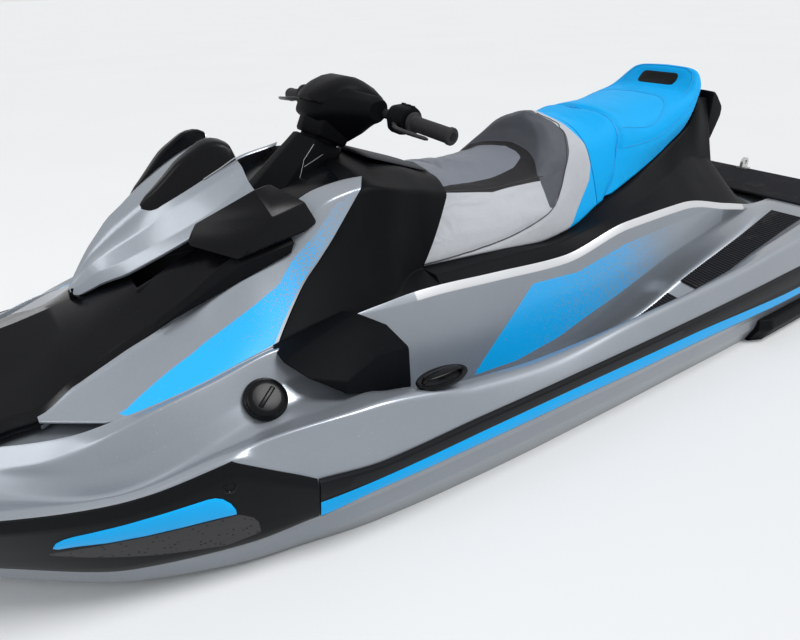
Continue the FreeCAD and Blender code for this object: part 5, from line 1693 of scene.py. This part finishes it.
def shifted(obj, offsets):
    """Moves each vertex by its own offset."""
    obj.data.vertices.foreach_set("co", (coordinates(obj) + offsets).ravel())
    obj.data.update()
    return obj


def away_from(co, points):
    """Distance of each vertex to a smooth line that runs on both sides of the craft."""
    line = spline(points, 8)
    folded = np.abs(co * [0, 1, 0]) + co * [1, 0, 1]
    return np.min(np.linalg.norm(folded[:, None] - line[None], axis=2), axis=1)


def pressed(obj, points, depth, width):
    """Pulls a cushion in along a seam."""
    away = away_from(coordinates(obj), points)
    return shifted(obj, -coordinates(obj, "normal") * (depth * np.exp(-(away / width) ** 2))[:, None])


def swollen(obj, seams):
    """Cushion crowned by air pressure between its seams: a cloth simulation, then a limit."""
    co, limit = coordinates(obj), sizes().swell
    ends = np.minimum(co[:, 0] - co[:, 0].min(), co[:, 0].max() - co[:, 0])
    under = np.array([SEAT_HEM + SEAT.at(x, "low_z") for x in co[:, 0]])
    free = np.clip(np.minimum(ends, co[:, 2] - under) / 0.05, 0, 1)
    for points in seams:
        free *= np.clip(away_from(co, points) / 0.02, 0, 1)
    held = obj.vertex_groups.new(name="held")
    for index, share in enumerate(free):
        held.add([index], float(1 - 0.98 * share), "REPLACE")
    cloth = obj.modifiers.new("Cloth", "CLOTH")
    for key, value in (("quality", 4), ("mass", 0.3), ("tension_stiffness", 12),
                       ("compression_stiffness", 12), ("use_pressure", True),
                       ("uniform_pressure_force", 4), ("vertex_group_mass", "held"),
                       ("pin_stiffness", 0.6)):
        setattr(cloth.settings, key, value)
    cloth.settings.effector_weights.gravity = 0
    cloth.point_cache.frame_start, cloth.point_cache.frame_end = 1, SIM_FRAMES
    for number in range(1, SIM_FRAMES + 1):
        bpy.context.scene.frame_set(number)
    baked(obj)
    obj.vertex_groups.clear()
    bpy.context.scene.frame_set(1)
    now = coordinates(obj)
    move = now - co
    far = np.linalg.norm(move, axis=1)
    share = np.minimum(1.0, limit * free / np.maximum(far, 1e-9))
    return shifted(obj, co + move * share[:, None] - now)


def seam(name, points, seat, material, share=1.0):
    """Line laid on a cushion along points, as a share of the piping."""
    target = surface_of(seat)
    parts = []
    for side in SIDES:
        path = laid([(x, side * y, z) for x, y, z in spline(points, 6)], target, 0.0004)
        parts.append(tube("Seam", path, sizes().piping * share, 8))
    finish(joined(name, parts), material, "craft")


# Fields of the cushions: saddle and insert seen from above, the others from the side.
SADDLE = (
    (0.30, 0.150), (0.067, 0.147), (-0.103, 0.132), (-0.20, 0.118), (-0.250, 0.092),
    (-0.268, 0.05), (-0.274, 0.0), (-0.274, -0.2), (0.30, -0.2),
)
BAND = ((0.30, 0.590), (0.089, 0.578), (-0.069, 0.553), (-0.31, 0.556), (-0.31, 0.80), (0.30, 0.80))
BOLSTER = (
    (-0.20, 0.483), (-0.20, 0.80), (-0.372, 0.80), (-0.372, 0.69), (-0.384, 0.655),
    (-0.362, 0.614), (-0.325, 0.567), (-0.293, 0.525), (-0.251, 0.487),
)
BOOT = (
    (-0.402, 0.80), (-0.402, 0.69), (-0.410, 0.66), (-0.427, 0.618), (-0.425, 0.579),
    (-0.406, 0.533), (-0.366, 0.486), (-0.32, 0.432), (-0.27, 0.398), (-0.27, 0.35),
    (-0.6, 0.35), (-0.6, 0.8),
)
INSERT_FIELD = (
    (-0.842, 0.0), (-0.835, 0.10), (-0.80, 0.15), (-0.74, 0.176), (-0.68, 0.178),
    (-0.575, 0.165), (-0.575, -0.2), (-0.842, -0.2),
)

# Flat place on the hump of the rear seat, seen from above.
PILL = (
    (-0.935, -0.075), (-0.935, 0.075), (-0.955, 0.092), (-0.972, 0.075), (-0.972, -0.075),
    (-0.955, -0.092),
)
CUP_FRONT = -0.236


def cup_foot(y):
    """Where the front of the bolster stands, further back in the middle."""
    return CUP_FRONT - 0.060 * np.maximum(0, 1 - (y / 0.175) ** 2)


def build_front_seat():
    seat = solid("front_seat_cushion", seat_rings(-0.4225, 0.235), angle=60)
    trim_line(seat, SEAT_FRONT, 0.004, False)
    co = coordinates(seat)
    share = np.interp(co[:, 0], (-0.40, -0.335, -0.262, -0.230, -0.10), (0, 0.25, 1, 1, 0))
    back = (cup_foot(co[:, 1]) - CUP_FRONT) * share * (co[:, 2] > 0.5)
    shifted(seat, np.stack([back, back * 0, back * 0], axis=1))
    seat = swollen(seat, (PIPING_LINE, BAND_LINE))
    pressed(seat, PIPING_LINE, 0.003, 0.007)
    pressed(seat, BAND_LINE, 0.002, 0.006)
    smooth(seat, 60)
    co = coordinates(seat)
    x, y, z = co[:, 0], np.abs(co[:, 1]), co[:, 2]
    mark(seat, "saddle", np.where(z > 0.53, inside(x, y, SADDLE), -0.02))
    mark(seat, "band", inside(x, z, BAND))
    mark(seat, "bolster", np.minimum(inside(x, z, BOLSTER), cup_foot(y) - x))
    mark(seat, "boot", inside(x, z, BOOT))
    finish(seat, "front_seat_vinyl", "craft", "front_seat")
    seam("front_seat_piping", PIPING_LINE, seat, "dark_piping")
    seam("band_seam", BAND_LINE, seat, "dark_piping", 10 / 17)


def build_rear_seat():
    seat = solid("rear_seat_cushion", seat_rings(-1.040, -0.4255), angle=60)
    lines = (BOOT_LINE, INSERT_LINE, SIDE_LINE, HUMP_LINE)
    seat = swollen(seat, lines)
    pressed(seat, BOOT_LINE, 0.010, 0.012)
    for line in lines[1:]:
        pressed(seat, line, 0.0022, 0.007)
    co = coordinates(seat)
    deep = np.clip(inside(co[:, 0], co[:, 1], PILL) / 0.006, 0, 1) * (co[:, 2] > 0.7)
    shifted(seat, -coordinates(seat, "normal") * (0.003 * deep)[:, None])
    smooth(seat, 60)
    co = coordinates(seat)
    field = inside(co[:, 0], np.abs(co[:, 1]), INSERT_FIELD)
    mark(seat, "insert", np.where(co[:, 2] > 0.6, field, -0.01))
    finish(seat, "rear_seat_vinyl", "craft", "rear_seat")
    corners = ((-0.072, -0.019), (0.072, -0.019), (0.072, 0.019), (-0.072, 0.019))
    outline = rounded(corners, 0.0188, 6, True)
    target = surface_of(seat)
    rings = []
    for share, lift in ((1.0, -0.001), (1.0, 0.0008), (0.97, 0.0014), (0.6, 0.0014), (0.2, 0.0014)):
        ring = [(-0.955 - b * 0.8 * share, a * share, 0.740 + b * share) for a, b in outline]
        rings.append(laid(ring, target, lift))
    plaque = solid("blank_plaque", rings, angle=50)
    finish(plaque, "black_gloss", "craft")
    seam("boot_seam", BOOT_LINE, seat, "blue_piping", 14 / 17)
    seam("insert_seam", INSERT_LINE, seat, "blue_piping", 11 / 17)
    seam("side_seam", SIDE_LINE, seat, "blue_piping", 11 / 17)
    seam("hump_seam", HUMP_LINE, seat, "blue_piping", 11 / 17)


class CRAFT_OT_seats(Step, bpy.types.Operator):
    """Seat base, grab handle and the two padded cushions with their seams"""
    bl_idname = "craft.seats"
    bl_label = "Seats"
    jobs = (build_base, build_front_seat, build_rear_seat)


# ------------------------------------------------------------------ steering
# Cap of the handlebar: place ahead of the axis, then low, high and half width.
CAP = (
    (0.092, 0.166, 0.176, 0.018),
    (0.087, 0.160, 0.196, 0.044),
    (0.074, 0.162, 0.223, 0.066),
    (0.060, 0.170, 0.243, 0.079),
    (0.045, 0.180, 0.2580, 0.085),
    (0.025, 0.195, 0.2690, 0.089),
    (0.004, 0.212, 0.2745, 0.090),
    (-0.025, 0.232, 0.2790, 0.086),
    (-0.052, 0.250, 0.2775, 0.074),
    (-0.066, 0.258, 0.270, 0.050),
)

# Cowl behind the cap: place across, then rear, front, low and high.
COWL = (
    (0.000, -0.062, 0.085, 0.130, 0.232),
    (0.045, -0.060, 0.082, 0.132, 0.232),
    (0.075, -0.054, 0.070, 0.150, 0.230),
    (0.100, -0.046, 0.054, 0.166, 0.236),
    (0.130, -0.036, 0.040, 0.178, 0.242),
    (0.155, -0.030, 0.034, 0.184, 0.243),
    (0.168, -0.024, 0.028, 0.190, 0.238),
)


# Neck under the cap, in the columns of the shroud.
NECK = (
    (0.097, 0.124, 0.057, -0.049, 0.052),
    (0.101, 0.128, 0.061, -0.052, 0.057),
    (0.150, 0.160, 0.074, -0.046, 0.064),
    (0.200, 0.205, 0.076, -0.042, 0.070),
)


def bar_point(from_end, side, ahead=0.0, up=0.0):
    """Place on the axis of a grip, measured from the bar's end."""
    middle = on_axis(0.190, 0.016)
    knee, end = middle + Vector((-0.042, 0.130, 0.003)), middle + Vector((-0.070, 0.380, -0.022))
    point = end + (knee - end).normalized() * from_end + Vector((ahead, 0, up))
    return Vector((point.x, side * point.y, point.z))


def build_cap():
    rings = []
    for ahead, low, high, half in CAP:
        tall = high - low
        outline = [(-half, low + tall * 0.30), (-half * 0.93, low + tall * 0.72), (-half * 0.55, high),
                   (half * 0.55, high), (half * 0.93, low + tall * 0.72), (half, low + tall * 0.30),
                   (half * 0.9, low), (-half * 0.9, low)]
        rings.append([tuple(on_axis(up, ahead, y)) for y, up in rounded(outline, 0.014, 3, True)])
    cap = solid("bar_cap", rings, angle=34)
    finish(cap, "black_trim", "handlebar", "handlebar_pod")

    rings = []
    rows = [(-row[0], *row[1:]) for row in reversed(COWL[1:])] + list(COWL)
    for y, rear, front, low, high in rows:
        outline = [(rear, low + (high - low) * 0.35), (rear + 0.012, high), (front - 0.02, high),
                   (front, low + (high - low) * 0.45), (front - 0.012, low), (rear + 0.018, low)]
        rings.append([tuple(on_axis(up, ahead, y)) for ahead, up in rounded(outline, 0.012, 3, True)])
    cowl = solid("bar_cowl", rings, angle=34)
    finish(cowl, "black_soft", "handlebar")

    neck = solid("bar_neck", [axis_ring(*row) for row in NECK], angle=34)
    finish(neck, "black_trim", "handlebar")


# Lever from its root to its tip: distance from the bar's end, ahead and up.
LEVER = ((0.154, 0.026, -0.004), (0.117, 0.048, -0.003), (0.075, 0.0505, -0.003), (0.024, 0.0445, -0.004))


def grip_profile():
    """Sleeve with its end bead, 22 ribs and the flange at its root."""
    profile = [(0.010, 0.0), (0.0165, 0.0006), (0.0185, 0.003), (0.0185, 0.009), (0.0160, 0.012)]
    for k in range(22):
        at = 0.014 + k * 0.0045
        profile += [(0.0158, at), (0.0166, at + 0.0012), (0.0166, at + 0.0030), (0.0158, at + 0.0042)]
    profile += [(0.0165, 0.114), (0.0225, 0.1165), (0.0235, 0.120), (0.0225, 0.1245), (0.012, 0.125)]
    return profile


def build_grips():
    corners = ((0.034, -0.026), (0.036, 0.012), (0.022, 0.030), (-0.018, 0.030), (-0.033, 0.010),
               (-0.029, -0.026))
    section = rounded(corners, 0.010, 3, True)
    grips, boxes, buttons, levers = [], [], [], []
    for side in SIDES:
        end = bar_point(0, side)
        along = (bar_point(0.125, side) - end).normalized()
        grips.append(lathe("Grip", grip_profile(), end, along, 32))
        across = along.cross(UP).normalized()
        rings = []
        for at, share in ((0.1290, 0.80), (0.1305, 0.92), (0.140, 1.0), (0.168, 1.0), (0.1775, 0.92),
                          (0.179, 0.80)):
            centre = bar_point(at, side)
            rings.append([tuple(centre + across * a * side + UP * b) for a, b in section * share])
        boxes.append(solid("Box", rings, angle=40))
        for shift, radius in ((0.138, 0.0055), (0.153, 0.0065), (0.168, 0.0055)):
            profile = [(radius, 0), (radius, 0.0022), (radius * 0.8, 0.0034), (0, 0.0036)]
            place = bar_point(shift, side, -0.012, 0.0285)
            buttons.append(lathe("Button", profile, place, (-0.25, 0, 1), 20))
        path = spline([bar_point(at, side, ahead, up) for at, ahead, up in LEVER], 7)
        radii = [0.0062] * 8 + list(np.linspace(0.0060, 0.0050, len(path) - 9)) + [0.0032]
        levers.append(tube("Lever", path, radii, 12, squash=0.8))
    finish(joined("grip_sleeves", grips), "grip_rubber", "handlebar", "grips")
    finish(joined("switch_housings", boxes), "black_soft", "handlebar", "switch_boxes")
    finish(joined("switch_buttons", buttons), "black_gloss", "handlebar")
    finish(joined("hand_levers", levers), "bar_paint", "handlebar", "levers")


class CRAFT_OT_steering(Step, bpy.types.Operator):
    """Handlebar cap and cowl, grips, switch housings and levers"""
    bl_idname = "craft.steering"
    bl_label = "Steering"
    jobs = (build_cap, build_grips)


# ------------------------------------------------------------------ fittings
def mat_rings(first, last, line, height):
    """Sections of a mat with ribs across it."""
    pitch = sizes().rib_pitch
    count = int((last - first) / pitch)
    rings = []
    for i in range(count):
        for share, lift in ((0.0, 0.62), (0.12, 1.0), (0.52, 1.0), (0.64, 0.62)):
            x, top = first + (i + share) * pitch, height * lift
            near, far = line(x)
            inset = (far - near) * 0.012
            rings.append(placed(x, [near + [0, 0.0004], near + [0, top * 0.85], near + inset + [0, top],
                                    far - inset + [0, top], far + [0, top * 0.85], far + [0, 0.0004]]))
    return rings


def floor_line(out_share, in_share):
    def line(x):
        outer, inner = DECK.point(x, "floor_out"), DECK.point(x, "floor_in")
        return outer + (inner - outer) * out_share, outer + (inner - outer) * in_share
    return line


def build_mats():
    thick = sizes().mat_thickness
    parts = [solid("Mat", mat_rings(-0.60, 0.278, floor_line(0.10, 0.88), thick),
                  mirror=True, angle=20),
             solid("Mat", mat_rings(-1.198, -0.665, floor_line(0.06, 0.92), thick),
                  mirror=True, angle=20)]
    finish(joined("footwell_mat_foam", parts), "mat_foam", "craft", "footwell_mats")

    def deck_line(x):
        z = DECK.at(x, "edge_z")
        return np.array([0.445, z]), np.array([-0.445, z])

    rear = solid("rear_mat_foam", mat_rings(-1.644, -1.302, deck_line, thick), angle=20)
    finish(rear, "mat_foam", "craft", "rear_deck_mat")


def build_filler():
    low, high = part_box("filler_cap")
    lean = math.radians(41)
    up = Vector((0, math.sin(lean), math.cos(lean)))
    foot = (low + high) / 2 - up * 0.008
    profile = [(0.0405, -0.004), (0.0435, -0.002), (0.0438, 0.003), (0.0420, 0.0065), (0.0395, 0.008),
               (0.0385, 0.0115), (0.0350, 0.0142), (0.0260, 0.0156), (0.0120, 0.0160), (0.0, 0.0161)]
    cap = lathe("Cap", profile, foot, up, 56)
    side = Vector((1, 0, 0))
    out = up.cross(side)
    ribs = []
    for a in turns(20):
        spoke = side * math.cos(a) + out * math.sin(a)
        base = foot + spoke * 0.0415
        ribs.append(tube("Rib", [base + up * 0.001, base - spoke * 0.003 + up * 0.0095], 0.0016, 6))
    long, wide = side * 0.8 + out * 0.6, out * 0.8 - side * 0.6
    corners = ((-0.006, 0.0135), (0.006, 0.0135), (-0.0035, 0.0188), (0.0035, 0.0188))
    grip = [tuple(foot + long * a + wide * b + up * c) for a in (-0.024, 0.024) for b, c in corners]
    grip = faceted("Grip", grip, 0.0016, 3)
    finish(joined("filler_cap_cover", [cap, grip] + ribs), "black_gloss", "craft", "filler_cap")


def oval(x, y, z, long, wide):
    return [(x + long * math.cos(a), y + wide * math.sin(a), z) for a in turns(40)]


def build_cleats():
    low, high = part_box("cleats")
    x, foot = (low.x + high.x) / 2, low.z
    dish = ((0.060, 0.0300, -0.008), (0.064, 0.0330, 0.0000), (0.0625, 0.0315, 0.0030),
            (0.056, 0.0260, 0.0032), (0.050, 0.0215, 0.0005), (0.044, 0.0170, -0.0012),
            (0.010, 0.004, -0.0014))
    bar = ((-0.050, 0.001), (-0.041, 0.0085), (-0.022, 0.0105), (0, 0.0108), (0.022, 0.0105),
           (0.041, 0.0085), (0.050, 0.001))
    parts = []
    for side in SIDES:
        y = side * (high.y - 0.015)
        rings = [oval(x, y, foot + up, long, wide) for long, wide, up in dish]
        parts.append(solid("Dish", rings, angle=35))
        rings = []
        for px, py, pz in spline([(x + along, y, foot + up) for along, up in bar], 4):
            wide = 0.0135 * math.sqrt(max(0.03, 1 - ((px - x) / 0.054) ** 2))
            rings.append([(px, py + wide * math.cos(a), pz + 0.0032 * math.sin(a)) for a in turns(16)])
        parts.append(solid("Bar", rings, angle=40))
    finish(joined("cleat_fittings", parts), "black_gloss", "craft", "cleats")


def build_sponsons():
    rings = []
    for x in stations(-1.558, -0.858, -1.55, -0.87):
        chine, low = HULL.point(x, "chine"), HULL.point(x, "rail_low")
        bottom, top = chine + (low - chine) * 0.12, chine + (low - chine) * 0.8
        reach = float(np.interp(x, (-1.558, -1.54, -0.90, -0.858), (0.020, 0.032, 0.031, 0.010)))
        corners = (bottom + [-0.01, 0], bottom + [reach * 0.55, -0.010], bottom + [reach, 0.012],
                   top + [reach, -0.035], top + [reach * 0.72, -0.004], top + [-0.004, 0.0])
        rings.append(placed(x, rounded(corners, 0.006, 3, True)))
    sponsons = solid("sponson_mouldings", rings, mirror=True, angle=35)
    finish(sponsons, "black_trim", "craft", "sponsons")
    profile = [(0.0085, -0.002), (0.0085, 0.0006), (0.0065, 0.0016), (0.003, 0.0006), (0, 0.0004)]
    screws = []
    for side in SIDES:
        for x in (-1.50, -1.30, -1.10, -0.92):
            chine, low = HULL.point(x, "chine"), HULL.point(x, "rail_low")
            y, z = chine + (low - chine) * 0.46
            reach = float(np.interp(x, (-1.54, -0.90), (0.032, 0.031)))
            screws.append(lathe("Screw", profile, (x, side * (y + reach), z), (0, side, 0), 20))
    finish(joined("sponson_screws", screws), "stainless_steel", "craft")


def build_plugs():
    low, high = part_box("drain_plugs")
    parts = []
    for side in SIDES:
        middle = Vector((high.x, side * (high.y - 0.020), (low.z + high.z) / 2))
        profile = [(0.0195, -0.001), (0.0200, 0.002), (0.0200, 0.006), (0.0180, 0.0085), (0.0150, 0.009),
                   (0.0145, 0.0128), (0.0130, 0.0138), (0.0060, 0.0138), (0.0050, 0.0105), (0, 0.0104)]
        parts.append(lathe("Plug", profile, middle, (-1, 0, 0), 36))
        wing = [middle + Vector((-a, b, c)) for a in (0.010, 0.0136) for b in (-0.016, 0.016)
                for c in (-0.0035, 0.0035)]
        parts.append(faceted("Wing", wing, 0.0012, 2))
    finish(joined("drain_plug_caps", parts), "black_trim", "craft", "drain_plugs")


# Blocks of the engine: ends along, across and up as shares of its box, and the edge radius.
ENGINE = (
    (0.0, 1.0, 0.12, 0.88, 0.0, 0.55, 0.02),
    (0.06, 0.9, 0.2, 0.8, 0.5, 0.85, 0.015),
    (0.1, 0.82, 0.3, 0.7, 0.8, 1.0, 0.012),
    (0.15, 0.85, 0.0, 0.2, 0.25, 0.62, 0.02),
    (0.1, 0.8, 0.8, 1.0, 0.3, 0.75, 0.02),
)


def build_engine():
    low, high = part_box("engine")
    size = high - low
    parts = []
    for a0, a1, b0, b1, c0, c1, edge in ENGINE:
        corners = [(low.x + size.x * a, low.y + size.y * b, low.z + size.z * c)
                   for a in (a0, a1) for b in (b0, b1) for c in (c0, c1)]
        parts.append(faceted("Block", corners, edge, 3))
    coil = [(0.022, 0), (0.022, 0.02), (0.016, 0.026), (0, 0.027)]
    for k in range(3):
        place = (low.x + size.x * (0.25 + 0.22 * k), 0, high.z - 0.03)
        parts.append(lathe("Coil", coil, place, UP, 20))
    finish(joined("engine_block", parts), "engine_paint", "craft", "engine")


# Parts whose own shape is shown, and their finishes.
KEPT = {
    "storage_tub": "tub_plastic",
    "handlebar": "bar_paint",
    "impeller": "stainless_steel",
    "pump_housing": "cast_aluminium",
    "steering_nozzle": "cast_aluminium",
    "reverse_bucket": "cast_aluminium",
    "ride_plate": "cast_aluminium",
    "intake_grate": "cast_aluminium",
    "mooring_eyes": "stainless_steel",
    "tow_hook": "stainless_steel",
    "step_brackets": "stainless_steel",
    "reboarding_step": "black_trim",
}


def finish_kept_parts():
    """Puts finishes on the parts whose own shape is shown."""
    for name, material in KEPT.items():
        slots = NODES[name].data.materials
        if not slots:
            slots.append(None)
        for index in range(len(slots)):
            slots[index] = stuff(material)


class CRAFT_OT_fittings(Step, bpy.types.Operator):
    """Mats, filler cap, cleats, sponsons, plugs, engine, and finishes of the drive parts"""
    bl_idname = "craft.fittings"
    bl_label = "Fittings"
    jobs = (build_mats, build_filler, build_cleats, build_sponsons, build_plugs, build_engine,
            finish_kept_parts)


class CRAFT_OT_finishes(Step, bpy.types.Operator):
    """Gelcoats, plastics, metals and vinyls of the pieces"""
    bl_idname = "craft.finishes"
    bl_label = "Finishes"
    jobs = (make_finishes,)


class CRAFT_PT_panel(bpy.types.Panel):
    """Sizes, colours and building steps"""
    bl_idname = "CRAFT_PT_panel"
    bl_label = "Watercraft"
    bl_space_type = "VIEW_3D"
    bl_region_type = "UI"
    bl_category = "Watercraft"

    def draw(self, context):
        for group in (context.scene.craft_sizes, context.scene.craft_colours):
            for key in group.bl_rna.properties.keys():
                if key not in ("rna_type", "name"):
                    self.layout.prop(group, key)
        for step in STEPS:
            self.layout.operator(step.bl_idname)


STEPS = (CRAFT_OT_stage, CRAFT_OT_finishes, CRAFT_OT_hull, CRAFT_OT_deck, CRAFT_OT_bow, CRAFT_OT_hood,
         CRAFT_OT_console, CRAFT_OT_seats, CRAFT_OT_steering, CRAFT_OT_fittings)
CLASSES = (CraftSizes, CraftColours, *STEPS, CRAFT_PT_panel)


def register():
    for cls in CLASSES:
        bpy.utils.register_class(cls)
    bpy.types.Scene.craft_sizes = bpy.props.PointerProperty(type=CraftSizes)
    bpy.types.Scene.craft_colours = bpy.props.PointerProperty(type=CraftColours)


def unregister():
    del bpy.types.Scene.craft_colours
    del bpy.types.Scene.craft_sizes
    for cls in reversed(CLASSES):
        bpy.utils.unregister_class(cls)


def main():
    register()
    for step in STEPS:
        name = step.bl_idname.split(".")[1]
        getattr(bpy.ops.craft, name)()


if __name__ == "__main__":
    main()
